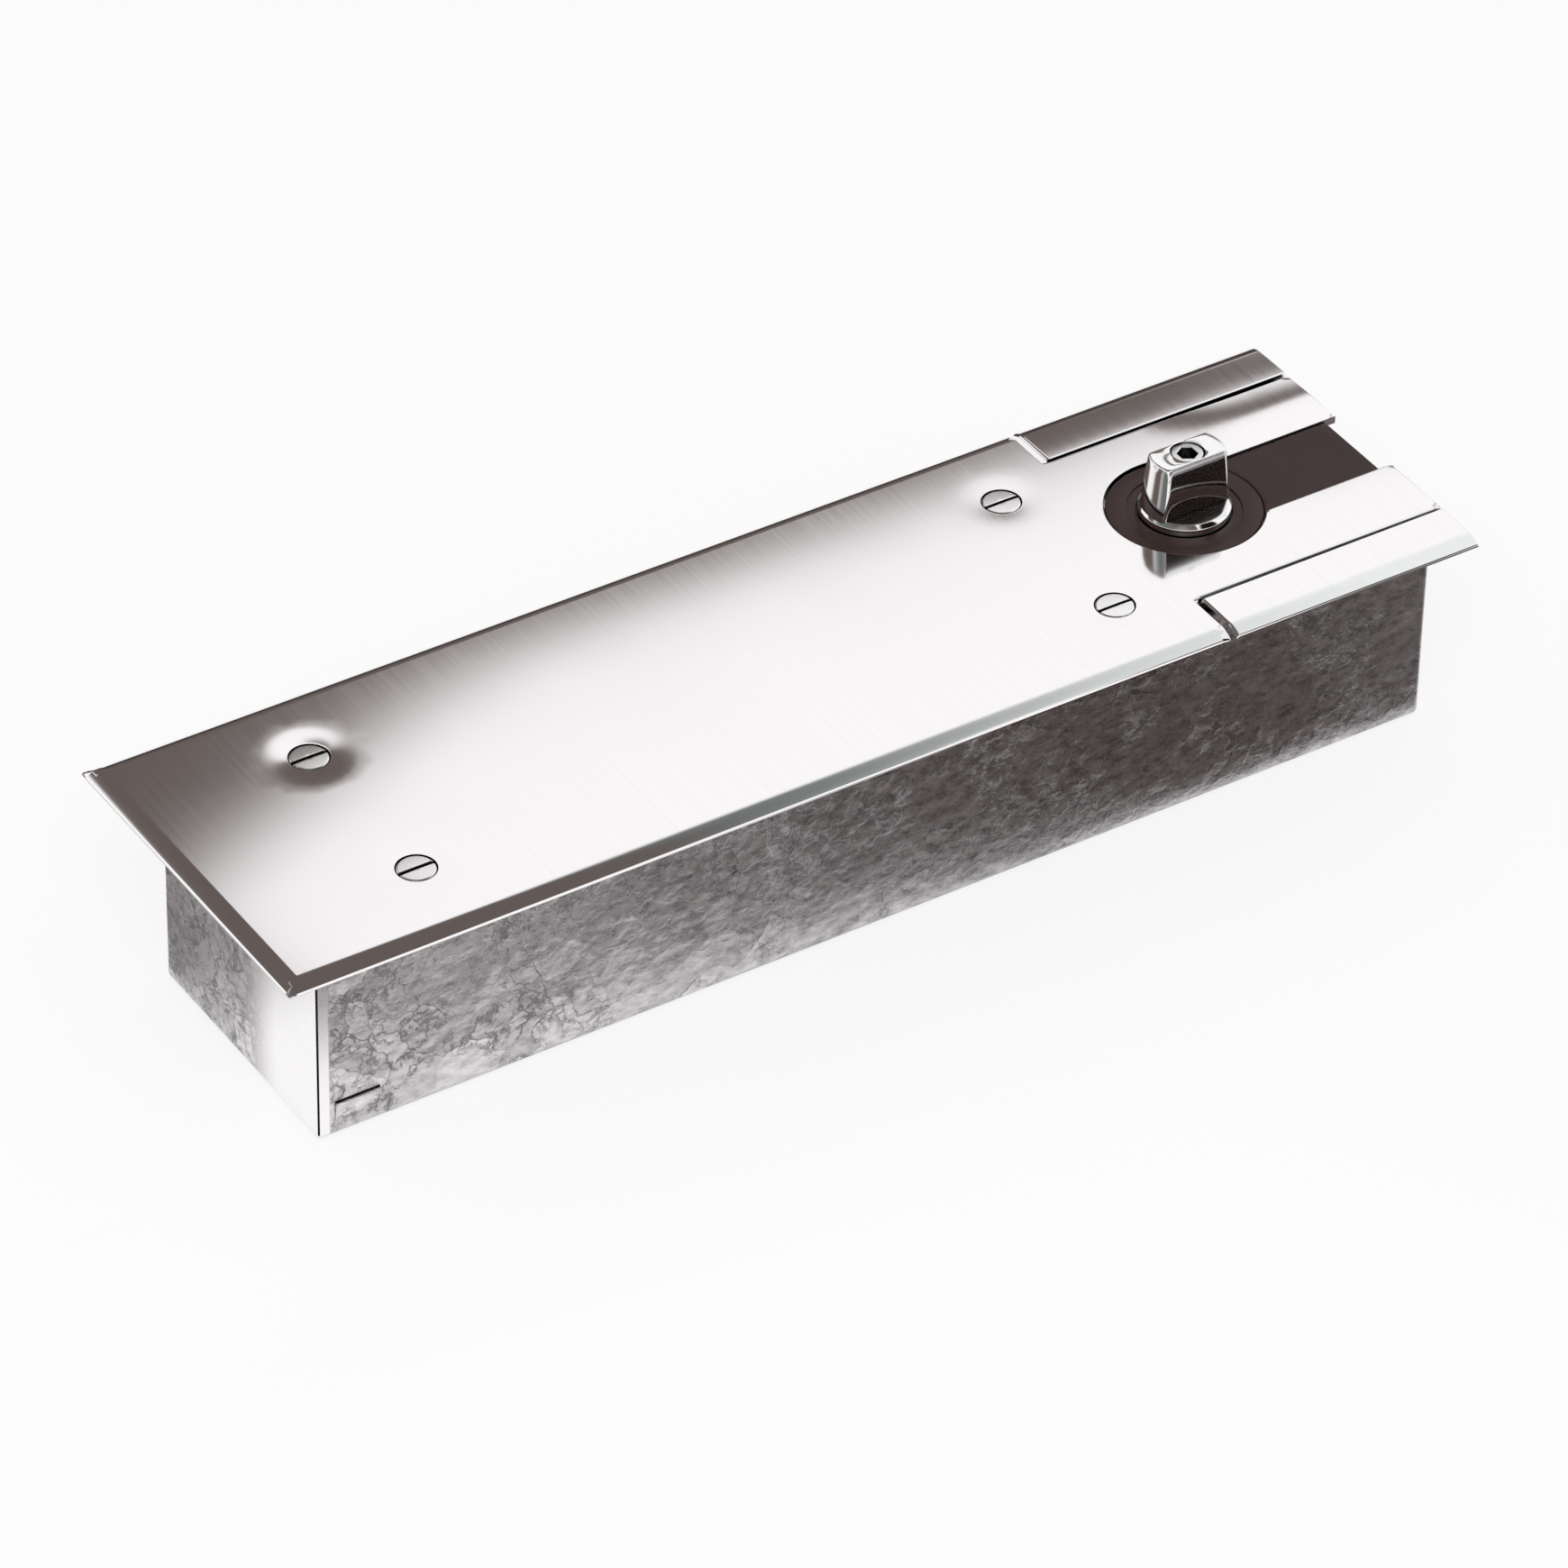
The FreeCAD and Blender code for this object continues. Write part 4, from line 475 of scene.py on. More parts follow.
AUTOMATIC = (0.0, 0.0, 0.0)


def finish_piece(name, shape, slot, body, replaced=(), sharp_angle=35):
    """An object from points, faces and corner normals, in place of CAD nodes.

    It rides on the body, where one is named.
    """
    points, faces, normals = shape
    mesh = bpy.data.meshes.new(name)
    mesh.from_pydata(points, [], faces)
    mesh.shade_smooth()
    mesh.set_sharp_from_angle(angle=math.radians(sharp_angle))
    mesh.normals_split_custom_set([normal for corners in normals for normal in corners])
    mesh.materials.append(MATERIALS[slot])
    piece = bpy.data.objects.new(name, mesh)
    bpy.context.scene.collection.objects.link(piece)
    if body:
        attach(piece, body)
    if replaced:
        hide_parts(*replaced)
    return piece


def with_normals(points, faces):
    """A shape whose normals are left to the mesh."""
    return points, faces, [[AUTOMATIC] * len(face) for face in faces]


def rectangle(low, high):
    return [(low[0], low[1]), (high[0], low[1]), (high[0], high[1]), (low[0], high[1])]


def divided(start, end, step):
    """Points from start up to, but not with, end."""
    count = max(1, round(math.dist(start, end) / step))
    return [
        tuple(start[i] + (end[i] - start[i]) * number / count for i in range(2))
        for number in range(count)
    ]


def loop_of(corners, step):
    """A closed outline through corners, divided into steps."""
    points = []
    for start, end in zip(corners, corners[1:] + corners[:1]):
        points += divided(start, end, step)
    return points


def ring_points(centre, radius, count):
    turns = [math.tau * number / count for number in range(count)]
    return [(centre[0] + radius * math.cos(turn), centre[1] + radius * math.sin(turn)) for turn in turns]


def slope_normal(height, x, y):
    """The normal of a surface whose height is a function of its place."""
    near = 0.02 * MM
    rise_x = (height(x + near, y) - height(x - near, y)) / (2 * near)
    rise_y = (height(x, y + near) - height(x, y - near)) / (2 * near)
    return Vector((-rise_x, -rise_y, 1.0)).normalized()


def raised_sheet(loops, loose, inside, height, bottom):
    """A sheet: a top that follows a height and has its normals, walls and a flat underside."""
    flat = []
    edges = []
    for loop in loops:
        first = len(flat)
        count = len(loop)
        flat += loop
        edges += [(first + number, first + (number + 1) % count) for number in range(count)]
    flat += [point for point in loose if inside(*point)]
    as_given = 0
    merge_within = 1e-7
    found = delaunay_2d_cdt([Vector(point) for point in flat], edges, [], as_given, merge_within)
    spots = [(spot.x, spot.y) for spot in found[0]]
    top_faces = []
    for face in found[2]:
        middle = [sum(spots[corner][i] for corner in face) / 3 for i in range(2)]
        if inside(*middle):
            top_faces.append(tuple(face))
    count = len(spots)
    points = [(x, y, height(x, y)) for x, y in spots]
    points += [(x, y, bottom) for x, y in spots]
    used = dict.fromkeys(edge for face in top_faces for edge in zip(face, face[1:] + face[:1]))
    walls = [
        (end, start, start + count, end + count)
        for start, end in used
        if (end, start) not in used
    ]
    bottoms = [tuple(corner + count for corner in reversed(face)) for face in top_faces]
    slopes = [slope_normal(height, x, y) for x, y in spots]
    normals = [[slopes[corner] for corner in face] for face in top_faces]
    normals += [[AUTOMATIC] * len(face) for face in walls + bottoms]
    return points, top_faces + walls + bottoms, normals


def lathe(profile, centre, segments):
    """A turned solid from a closed profile of radius and height."""
    count = len(profile)
    points = []
    for number in range(segments):
        turn = math.tau * number / segments
        for radius, height in profile:
            points.append((
                centre[0] + radius * math.cos(turn),
                centre[1] + radius * math.sin(turn),
                height,
            ))
    faces = []
    for number in range(segments):
        here = number * count
        there = (number + 1) % segments * count
        for step in range(count):
            after = (step + 1) % count
            faces.append((here + step, here + after, there + after, there + step))
    return with_normals(points, faces)


def rounded_profile(corners, steps=4):
    """A closed profile whose corners, given as radius, height and rounding, are rounded."""
    profile = []
    for number, (radius, height, size) in enumerate(corners):
        before = corners[number - 1]
        after = corners[(number + 1) % len(corners)]
        if size == 0:
            profile.append((radius, height))
            continue
        inward = Vector((before[0] - radius, before[1] - height)).normalized() * size
        outward = Vector((after[0] - radius, after[1] - height)).normalized() * size
        for step in range(steps + 1):
            turn = math.pi / 2 * step / steps
            share_in = 1 - math.sin(turn)
            share_out = 1 - math.cos(turn)
            profile.append((
                radius + inward.x * share_in + outward.x * share_out,
                height + inward.y * share_in + outward.y * share_out,
            ))
    return profile


def stacked(rings):
    """A skin between rings with equal numbers of points, closed at both ends."""
    count = len(rings[0])
    points = [point for ring in rings for point in ring]
    faces = []
    for level in range(len(rings) - 1):
        here = level * count
        there = here + count
        for number in range(count):
            after = (number + 1) % count
            faces.append((here + number, here + after, there + after, there + number))
    faces.append(tuple(reversed(range(count))))
    faces.append(tuple(range(len(points) - count, len(points))))
    return with_normals(points, faces)


def prism(outline, low, high):
    return stacked([[(x, y, z) for x, y in outline] for z in (low, high)])


def merged(*parts):
    """Several shapes as one."""
    points = []
    faces = []
    normals = []
    for more_points, more_faces, more_normals in parts:
        shift = len(points)
        points += more_points
        faces += [tuple(corner + shift for corner in face) for face in more_faces]
        normals += more_normals
    return points, faces, normals


def steps_between(low, high, step):
    count = max(1, round(abs(high - low) / step))
    return [low + (high - low) * number / count for number in range(count + 1)]


def rows_beside(start, end, inward, distances):
    """Points in rows beside an edge, in line with the edge's own points."""
    edge = divided(start, end, EDGE_STEP) + [end]
    return [(x + inward[0] * away, y + inward[1] * away) for away in distances for x, y in edge]


# Cover plate

def from_spindle(x, y):
    return math.hypot(x - AXIS_X, y)


def on_plate(x, y):
    """True over the plate, outside its notches, slot and holes."""
    if not (cover_low.x <= x <= cover_high.x and cover_low.y <= y <= cover_high.y):
        return False
    if x > NOTCH_START and abs(y) > FINGER_EDGE:
        return False
    if x > AXIS_X and abs(y) < SLOT_HALF:
        return False
    if from_spindle(x, y) < HOLE_RADIUS:
        return False
    return all(math.dist((x, y), at) >= SCREW_HOLE for at in SCREWS)


def rim_fall(distance):
    share = max(0.0, 1 - distance / RIM_WIDTH)
    fall = RIM_DROP * (RIM_CREASE * share + (1 - RIM_CREASE) * share ** 2)
    return fall + rounding(distance, EDGE_ROUND)


def plate_height(x, y):
    fall = rim_fall(min(x - cover_low.x, y - cover_low.y, cover_high.y - y))
    for at, depth in DISHES.items():
        away = math.dist((x, y), at)
        share = min((DISH_RADIUS - away) / (DISH_RADIUS - SCREW_HOLE), 1.0)
        fall += depth * max(share, 0.0) ** 2
    onto_finger = smooth((x - NOTCH_START) / NOTCH_BLEND)
    fall += onto_finger * rounding(FINGER_EDGE - abs(y), FINGER_ROUND)
    if abs(y) > FINGER_EDGE:
        fall += rounding(NOTCH_START - x, EDGE_ROUND)
    if abs(y) >= SLOT_HALF:
        middle = (SLOT_HALF + FINGER_EDGE) / 2
        across = (abs(y) - middle) / (FINGER_EDGE - middle)
        crown = FINGER_CROWN if y < 0 else BACK_FINGER_CROWN
        fall += crown * across ** 2 * smooth((x - CROWN_START) / (CROWN_FULL - CROWN_START))
    if x > AXIS_X + SLOT_HALF:
        fall += rounding(abs(y) - SLOT_HALF, EDGE_ROUND)
    fall += rounding(from_spindle(x, y) - HOLE_RADIUS, EDGE_ROUND)
    fall += rounding(cover_high.x - x, EDGE_ROUND)
    return cover_high.z - fall


def make_cover_plate():
    mouth = math.acos(math.sqrt(HOLE_RADIUS ** 2 - SLOT_HALF ** 2) / HOLE_RADIUS)
    turns = steps_between(-mouth, mouth - math.tau, HOLE_TURN)

    def around_hole(radius):
        return [(AXIS_X + radius * math.cos(turn), radius * math.sin(turn)) for turn in turns]

    slot_start = AXIS_X + math.sqrt(HOLE_RADIUS ** 2 - SLOT_HALF ** 2)
    half = [
        (slot_start, SLOT_HALF),
        (cover_high.x, SLOT_HALF),
        (cover_high.x, FINGER_EDGE),
        (NOTCH_START, FINGER_EDGE),
        (NOTCH_START, cover_high.y),
        (cover_low.x, cover_high.y),
    ]
    inward = [(0, 1), (-1, 0), (0, -1), (-1, 0), (0, -1)]
    mirrored = [(x, -y) for x, y in reversed(half)]
    loops = [loop_of(mirrored[:-1] + around_hole(HOLE_RADIUS) + half[1:], EDGE_STEP)]
    loops += [ring_points(at, SCREW_HOLE, HOLE_SIDES) for at in SCREWS]
    edge_steps = [share * EDGE_ROUND for share in EDGE_SHARES]
    rim_steps = edge_steps + [share * RIM_WIDTH for share in RIM_SHARES]
    finger_steps = [share * FINGER_ROUND for share in FINGER_SHARES]
    distances = [edge_steps, edge_steps, finger_steps, edge_steps, rim_steps]
    loose = []
    for start, end, way, steps in zip(half, half[1:], inward, distances):
        for x, y in rows_beside(start, end, way, steps):
            mitred = max(x, cover_low.x + cover_high.y - y) if y > FINGER_EDGE else x
            loose += [(mitred, y), (mitred, -y)]
    for x, y in rows_beside((cover_low.x, cover_low.y), (cover_low.x, cover_high.y), (1, 0), rim_steps):
        reach = cover_high.y - (x - cover_low.x)
        loose.append((x, min(max(y, -reach), reach)))
    for distance in edge_steps + [MM]:
        loose += around_hole(HOLE_RADIUS + distance)
    for at in SCREWS:
        for step in range(1, DISH_RINGS + 1):
            loose += ring_points(at, SCREW_HOLE + step * DISH_RING_STEP, HOLE_SIDES)
    ways = (-GRID_CLEAR, GRID_CLEAR)
    for x in steps_between(cover_low.x + GRID_INSET, cover_high.x, GRID_STEP_X):
        for y in steps_between(cover_low.y + GRID_INSET, cover_high.y - GRID_INSET, GRID_STEP_Y):
            clear = all(math.dist((x, y), at) > DISH_RADIUS + MM for at in SCREWS)
            around = [(x + way_x, y + way_y) for way_x in ways for way_y in ways]
            if clear and all(on_plate(*spot) for spot in around):
                loose.append((x, y))
    sheet = raised_sheet(loops, loose, on_plate, plate_height, cover_low.z)
    finish_piece("cover_plate_sheet", sheet, "stainless_cover", "closer", ["cover_plate"])


# Side strips

def make_side_strip(side):
    low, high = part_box(f"side_strip_{side}")
    sign = -1 if side == "front" else 1
    seam = min(abs(low.y), abs(high.y))
    outer = max(abs(low.y), abs(high.y))
    flat = outer - seam - RIM_WIDTH

    def inside(x, y):
        return low.x <= x <= high.x and low.y <= y <= high.y

    def height(x, y):
        across = abs(y) - seam
        fall = STRIP_FALL * min(across / flat, 1.0) ** 2
        beyond = max(0.0, (across - flat) / RIM_WIDTH)
        steep = RIM_CREASE * beyond + (1 - RIM_CREASE) * beyond ** 2
        fall += (RIM_DROP - STRIP_FALL) * steep
        fall += rounding(across, EDGE_ROUND)
        fall += rounding(outer - abs(y), EDGE_ROUND)
        fall += rounding(x - low.x, END_ROUND)
        fall += rounding(high.x - x, EDGE_ROUND)
        return high.z - fall

    edge_steps = [share * EDGE_ROUND for share in (0, *EDGE_SHARES)]
    along = [low.x + share * END_ROUND for share in END_SHARES]
    along += steps_between(low.x + 2 * MM, high.x - MM, EDGE_STEP)
    along += [high.x - step for step in reversed(edge_steps)]
    across = [seam + step for step in edge_steps]
    across += steps_between(seam + MM, outer - MM, STRIP_STEP)
    across += [outer - step for step in reversed(edge_steps)]
    sides = [sign * y for y in across]
    outline = [(x, sides[0]) for x in along]
    outline += [(along[-1], y) for y in sides[1:-1]]
    outline += [(x, sides[-1]) for x in reversed(along)]
    outline += [(along[0], y) for y in reversed(sides[1:-1])]
    loose = [(x, y) for x in along[1:-1] for y in sides[1:-1]]
    sheet = raised_sheet([outline], loose, inside, height, low.z)
    name = f"side_strip_{side}"
    finish_piece(f"{name}_sheet", sheet, "stainless_cover", "closer", [name])


# Cover screws: slotted heads with a low crown on tapered seats

def make_screw_head(at, seat):
    """Two half discs with the slot between them and the slot's floor below."""
    slot_end = math.sqrt(HEAD_RADIUS ** 2 - HEAD_SLOT ** 2)
    turn_start = math.asin(HEAD_SLOT / HEAD_RADIUS)
    bottom = seat - HEAD_THICKNESS
    parts = []
    for side in (-1, 1):
        def inside(x, y):
            aside = side * (y - at[1])
            return aside >= HEAD_SLOT and math.hypot(x - at[0], aside) <= HEAD_RADIUS

        def height(x, y):
            aside = side * (y - at[1])
            away = math.hypot(x - at[0], aside)
            fall = rounding(aside - HEAD_SLOT, SLOT_EDGE_ROUND)
            fall += rounding(HEAD_RADIUS - away, HEAD_EDGE_ROUND)
            return seat + HEAD_CROWN * (1 - (away / HEAD_RADIUS) ** 2) - fall

        def half_ring(radius, start):
            turns = steps_between(start, math.pi - start, HEAD_TURN)
            return [
                (at[0] + radius * math.cos(turn), at[1] + side * radius * math.sin(turn))
                for turn in turns
            ]

        outline = half_ring(HEAD_RADIUS, turn_start)
        chord = divided(outline[-1], outline[0], CHORD_STEP)[1:]
        loose = []
        for inset in SLOT_INSETS:
            for x, _ in chord:
                loose.append((x, at[1] + side * (HEAD_SLOT + inset * MM)))
        for inset in HEAD_INSETS:
            loose += half_ring(HEAD_RADIUS - inset * MM, turn_start)
        parts.append(raised_sheet([outline + chord], loose, inside, height, bottom))
    floor = seat + HEAD_CROWN - HEAD_SLOT_DEPTH
    slot_low = (at[0] - slot_end, at[1] - HEAD_SLOT)
    slot_high = (at[0] + slot_end, at[1] + HEAD_SLOT)
    parts.append(prism(rectangle(slot_low, slot_high), bottom, floor))
    return merged(*parts)


def make_cover_screws():
    parts = []
    for at, depth in DISHES.items():
        seat = cover_high.z - depth
        neck = seat - HEAD_THICKNESS
        foot = neck - (HEAD_RADIUS - SHANK_RADIUS)
        profile = [
            (0.0, screws_low.z),
            (SHANK_RADIUS - SHANK_CHAMFER, screws_low.z),
            (SHANK_RADIUS, screws_low.z + SHANK_CHAMFER),
            (SHANK_RADIUS, foot),
            (HEAD_RADIUS - 0.2 * MM, neck),
            (0.0, neck),
        ]
        parts += [make_screw_head(at, seat), lathe(profile, at, HOLE_SIDES)]
    finish_piece("cover_screw_heads", merged(*parts), "stainless_screw", "closer", ["cover_screws"])


# Tab lanced out of the box's front side

def make_tab():
    box_low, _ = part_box("cement_box")
    wall = box_low.y
    foot = box_low.z + TAB_FOOT
    top = foot + TAB_HEIGHT
    start = box_low.x + TAB_FROM_END
    end = start + TAB_LENGTH
    section = [
        (wall, foot),
        (wall - TAB_LEAN, top - TAB_ROUND),
        (wall - TAB_LEAN + TAB_ROUND, top),
        (wall - TAB_LEAN + TAB_SHEET - TAB_ROUND, top),
        (wall - TAB_LEAN + TAB_SHEET, top - TAB_ROUND),
        (wall + TAB_ROOT, foot + TAB_ROOT),
    ]
    places = [(start, TAB_ROUND), (start + TAB_ROUND, 0.0), (end - TAB_ROUND, 0.0), (end, TAB_ROUND)]
    rings = [[(x, y, z - drop) for y, z in section] for x, drop in places]
    tab = stacked(rings)
    finish_piece("lanced_tab", tab, "galvanised_sheet", "closer")


# Black disc and the strip that fills the slot

def make_disc():
    hole = COLLAR_RADIUS + DISC_GAP
    step_floor = disc_high.z - DISC_STEP_DEPTH
    profile = rounded_profile([
        (hole, disc_low.z, 0),
        (DISC_RADIUS, disc_low.z, 0),
        (DISC_RADIUS, disc_high.z, DISC_ROUND),
        (DISC_STEP_RADIUS, disc_high.z, DISC_ROUND / 2),
        (DISC_STEP_RADIUS, step_floor, 0),
        (hole, step_floor, DISC_ROUND / 2),
    ])
    ring = lathe(profile, (AXIS_X, 0), DISC_SIDES)
    finish_piece("spindle_disc_ring", ring, "black_plastic", "closer", ["spindle_disc"], 50)


def make_slot_insert():
    half = SLOT_HALF - SLOT_GAP
    reach = DISC_RADIUS + DISC_GAP
    plate_bottom = cover_low.z

    def inside(x, y):
        return x <= insert_high.x and abs(y) <= half and x > AXIS_X and from_spindle(x, y) >= reach

    def height(x, y):
        edge = min(half - abs(y), insert_high.x - x, from_spindle(x, y) - reach)
        return insert_high.z - rounding(edge, EDGE_ROUND)

    start = AXIS_X + math.sqrt(reach ** 2 - half ** 2)
    mouth = math.asin(half / reach)
    arc = [
        (AXIS_X + reach * math.cos(turn), reach * math.sin(turn))
        for turn in steps_between(-mouth, mouth, DISC_TURN)
    ]
    corners = [(insert_high.x, half)] + list(reversed(arc)) + [(insert_high.x, -half)]
    loose = []
    for x in steps_between(AXIS_X, insert_high.x, SLOT_GRID_X):
        for y in steps_between(-half, half, SLOT_GRID_Y):
            loose.append((x, y))
    for inset in SLOT_EDGE_INSETS:
        for x in steps_between(start, insert_high.x - inset * MM, SLOT_INSERT_STEP):
            loose += [(x, half - inset * MM), (x, inset * MM - half)]
        for y in steps_between(-half + inset * MM, half - inset * MM, SLOT_INSERT_STEP):
            loose.append((insert_high.x - inset * MM, y))
        loose += ring_points((AXIS_X, 0), reach + inset * MM, DISC_SIDES)
    outline = loop_of(corners, SLOT_INSERT_STEP)
    strip = raised_sheet([outline], loose, inside, height, plate_bottom)
    flange = rectangle((AXIS_X + FLANGE_FROM_SPINDLE, insert_low.y), insert_high)
    whole = merged(strip, prism(flange, insert_low.z, plate_bottom))
    finish_piece("slot_strip", whole, "black_plastic", "closer", ["slot_insert"])


# Spindle piece with its screw

def quarter_turns(count):
    """Angles that go round an edge, from its side to its top."""
    return [math.pi / 2 * number / count for number in range(1, count + 1)]


def blade_ring(share, z, shrink=0.0):
    """The outline of the blade at a height: two flats on a cone, with rounded corners."""
    arc_steps = 18
    bend_steps = 6
    flat_steps = 12
    radius = CONE_FOOT + (CONE_TOP - CONE_FOOT) * share - shrink
    half = FLAT_FOOT + (FLAT_TOP - FLAT_FOOT) * max(share, 0) ** 3 - shrink
    corner = BLADE_ROUND
    end = math.sqrt(radius ** 2 - half ** 2)
    quarter = []
    turn_end = math.atan2(half - corner, math.sqrt(radius ** 2 - (half - corner) ** 2))
    for number in range(arc_steps + 1):
        turn = turn_end * number / arc_steps
        quarter.append((radius * math.cos(turn), radius * math.sin(turn)))
    flat_start = end - 1.6 * corner
    bend_from = Vector(quarter[-1])
    bend_over = Vector((end, half))
    bend_to = Vector((flat_start, half))
    for number in range(1, bend_steps + 1):
        bend_share = number / bend_steps
        first = bend_from.lerp(bend_over, bend_share)
        second = bend_over.lerp(bend_to, bend_share)
        spot = first.lerp(second, bend_share)
        quarter.append((spot.x, spot.y))
    for number in range(1, flat_steps + 1):
        quarter.append((flat_start * (1 - number / flat_steps), half))
    outline = list(quarter)
    outline += [(-x, y) for x, y in reversed(quarter[:-1])]
    outline += [(-x, -y) for x, y in quarter[1:]]
    outline += [(x, -y) for x, y in reversed(quarter[1:-1])]
    return [(AXIS_X + x, y, z) for x, y in outline]


def make_spindle_piece():
    top = blade_high.z
    rise = top - COLLAR_TOP
    rings = []
    for z in steps_between(COLLAR_TOP - BLADE_SUNK, top - TOP_ROUND, 2 * MM):
        rings.append(blade_ring((z - COLLAR_TOP) / rise, z))
    for turn in quarter_turns(5):
        z = top - TOP_ROUND + TOP_ROUND * math.sin(turn)
        rings.append(blade_ring((z - COLLAR_TOP) / rise, z, TOP_ROUND * (1 - math.cos(turn))))
    outer = rings[-1]

    def circle(radius, z):
        points = []
        for x, y, _ in outer:
            turn = math.atan2(y, x - AXIS_X)
            points.append((AXIS_X + radius * math.cos(turn), radius * math.sin(turn), z))
        return points

    for out, down in ((1, 0), (0.3, 0.3), (0, 1)):
        rings.append(circle(HEAD_ROOM + out * ROOM_ROUND, top - down * ROOM_ROUND))
    rings.append(circle(HEAD_ROOM, socket_high.z - SOCKET_HEIGHT))
    blade = stacked(rings)
    low = COLLAR_TOP - COLLAR_HEIGHT
    collar = lathe(
        rounded_profile([
            (SCREW_CLEARANCE, low, 0),
            (COLLAR_RADIUS, low, 0.2 * MM),
            (COLLAR_RADIUS, COLLAR_TOP - COLLAR_CHAMFER, 0.15 * MM),
            (COLLAR_RADIUS - COLLAR_CHAMFER, COLLAR_TOP, 0.12 * MM),
            (SCREW_CLEARANCE, COLLAR_TOP, 0),
        ]),
        (AXIS_X, 0),
        COLLAR_SIDES,
    )
    square = rectangle((AXIS_X - DRIVE_HALF, -DRIVE_HALF), (AXIS_X + DRIVE_HALF, DRIVE_HALF))
    whole = merged(blade, collar, prism(square, blade_low.z, low))
    finish_piece("spindle_blade", whole, "bright_spindle", "spindle", ["spindle_insert"], 32)


def make_socket_screw():
    top = socket_high.z

    def circle(radius, z):
        return [(x, y, z) for x, y in ring_points((AXIS_X, 0), radius, SOCKET_SIDES)]

    def hexagon(half, z):
        points = []
        for number in range(SOCKET_SIDES):
            turn = math.tau * number / SOCKET_SIDES
            aside = (turn + math.pi / 6) % (math.pi / 3) - math.pi / 6
            reach = half / math.cos(aside)
            points.append((AXIS_X + reach * math.cos(turn), reach * math.sin(turn), z))
        return points

    head_low = top - SOCKET_HEIGHT
    rings = [circle(0.4 * SOCKET_HEAD, head_low), circle(SOCKET_HEAD, head_low)]
    rings.append(circle(SOCKET_HEAD, top - SOCKET_ROUND))
    for turn in quarter_turns(4):
        radius = SOCKET_HEAD - SOCKET_ROUND * (1 - math.cos(turn))
        rings.append(circle(radius, top - SOCKET_ROUND + SOCKET_ROUND * math.sin(turn)))
    rings.append(hexagon(HEX_HALF + SOCKET_ROUND, top))
    rings.append(hexagon(HEX_HALF, top - SOCKET_ROUND))
    rings.append(hexagon(HEX_HALF, top - HEX_DEPTH))
    head = stacked(rings)
    shank = lathe(
        [
            (0.0, socket_low.z),
            (2.5 * MM, socket_low.z),
            (SOCKET_SHANK, socket_low.z + 0.5 * MM),
            (SOCKET_SHANK, head_low),
            (0.0, head_low),
        ],
        (AXIS_X, 0),
        HOLE_SIDES,
    )
    whole = merged(head, shank)
    finish_piece("spindle_socket_screw", whole, "hardened_steel", "spindle", ["spindle_screw"])


# Return springs

def make_spring(name, fixed_end, head_end, node):
    """A coil from the housing to the spring head."""
    low, high = sorted((fixed_end, head_end))
    low += WIRE_RADIUS + SPRING_PLAY
    high -= WIRE_RADIUS + SPRING_PLAY
    count = SPRING_TURNS * STEPS_PER_TURN
    along = Vector((1, 0, 0))
    rings = []
    for step in range(count + 1):
        share = step / count
        turn = share * SPRING_TURNS * math.tau
        outward = Vector((0, math.cos(turn), math.sin(turn)))
        middle = Vector((low + (high - low) * share, 0, BORE_HEIGHT)) + outward * SPRING_RADIUS
        ring = []
        for corner in range(WIRE_SIDES):
            angle = corner / WIRE_SIDES * math.tau
            way = outward * math.cos(angle) - along * math.sin(angle)
            ring.append(middle + way * WIRE_RADIUS)
        rings.append(ring)
    shape = stacked(rings)
    piece = finish_piece(name, shape, "spring_steel", None, [node])
    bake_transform(piece)


# CAD nodes that stay, with a finish each

def dress_cad_nodes():
    slot_of = {part["node"]: part["material_slot"] for part in frame["record"]["subparts"]}
    for name, thing in nodes.items():
        if thing.hide_render:
            continue
        slot = slot_of[name]
        thing.data.materials.clear()
        thing.data.materials.append(MATERIALS[slot])


# Stage: floor, reflected cards, light and camera

def shown_rays(graph, share):
    """A share for rays from the camera, reflections and see-through pieces, and 0 for light."""
    path = graph.add("ShaderNodeLightPath").outputs
    mirrored = graph.larger(path["Is Glossy Ray"], path["Is Transmission Ray"])
    return graph.times(graph.larger(path["Is Camera Ray"], mirrored), share)


class Emitter(Graph):
    """A plain glowing material for the stage."""

    def __init__(self, name, colour=WHITE):
        super().__init__(name, colour, 0.0, 1.0)
        self.tree.nodes.remove(self.shader)
        self.glow = self.add("ShaderNodeEmission", {"Color": (*colour, 1)})
        output = self.tree.nodes["Material Output"]
        self.tree.links.new(self.glow.outputs["Emission"], output.inputs["Surface"])

    def glows(self, colour):
        self.tree.links.new(colour, self.glow.inputs["Color"])


def make_card(name, corners, material):
    """A sheet that only reflections show, as a photographer's card stands outside the picture."""
    mesh = bpy.data.meshes.new(name)
    mesh.from_pydata(corners, [], [tuple(range(len(corners)))])
    mesh.materials.append(material)
    card = bpy.data.objects.new(name, mesh)
    bpy.context.scene.collection.objects.link(card)
    card.visible_camera = False
    card.visible_diffuse = False
    card.visible_transmission = False
    card.visible_shadow = False
    card.visible_volume_scatter = False


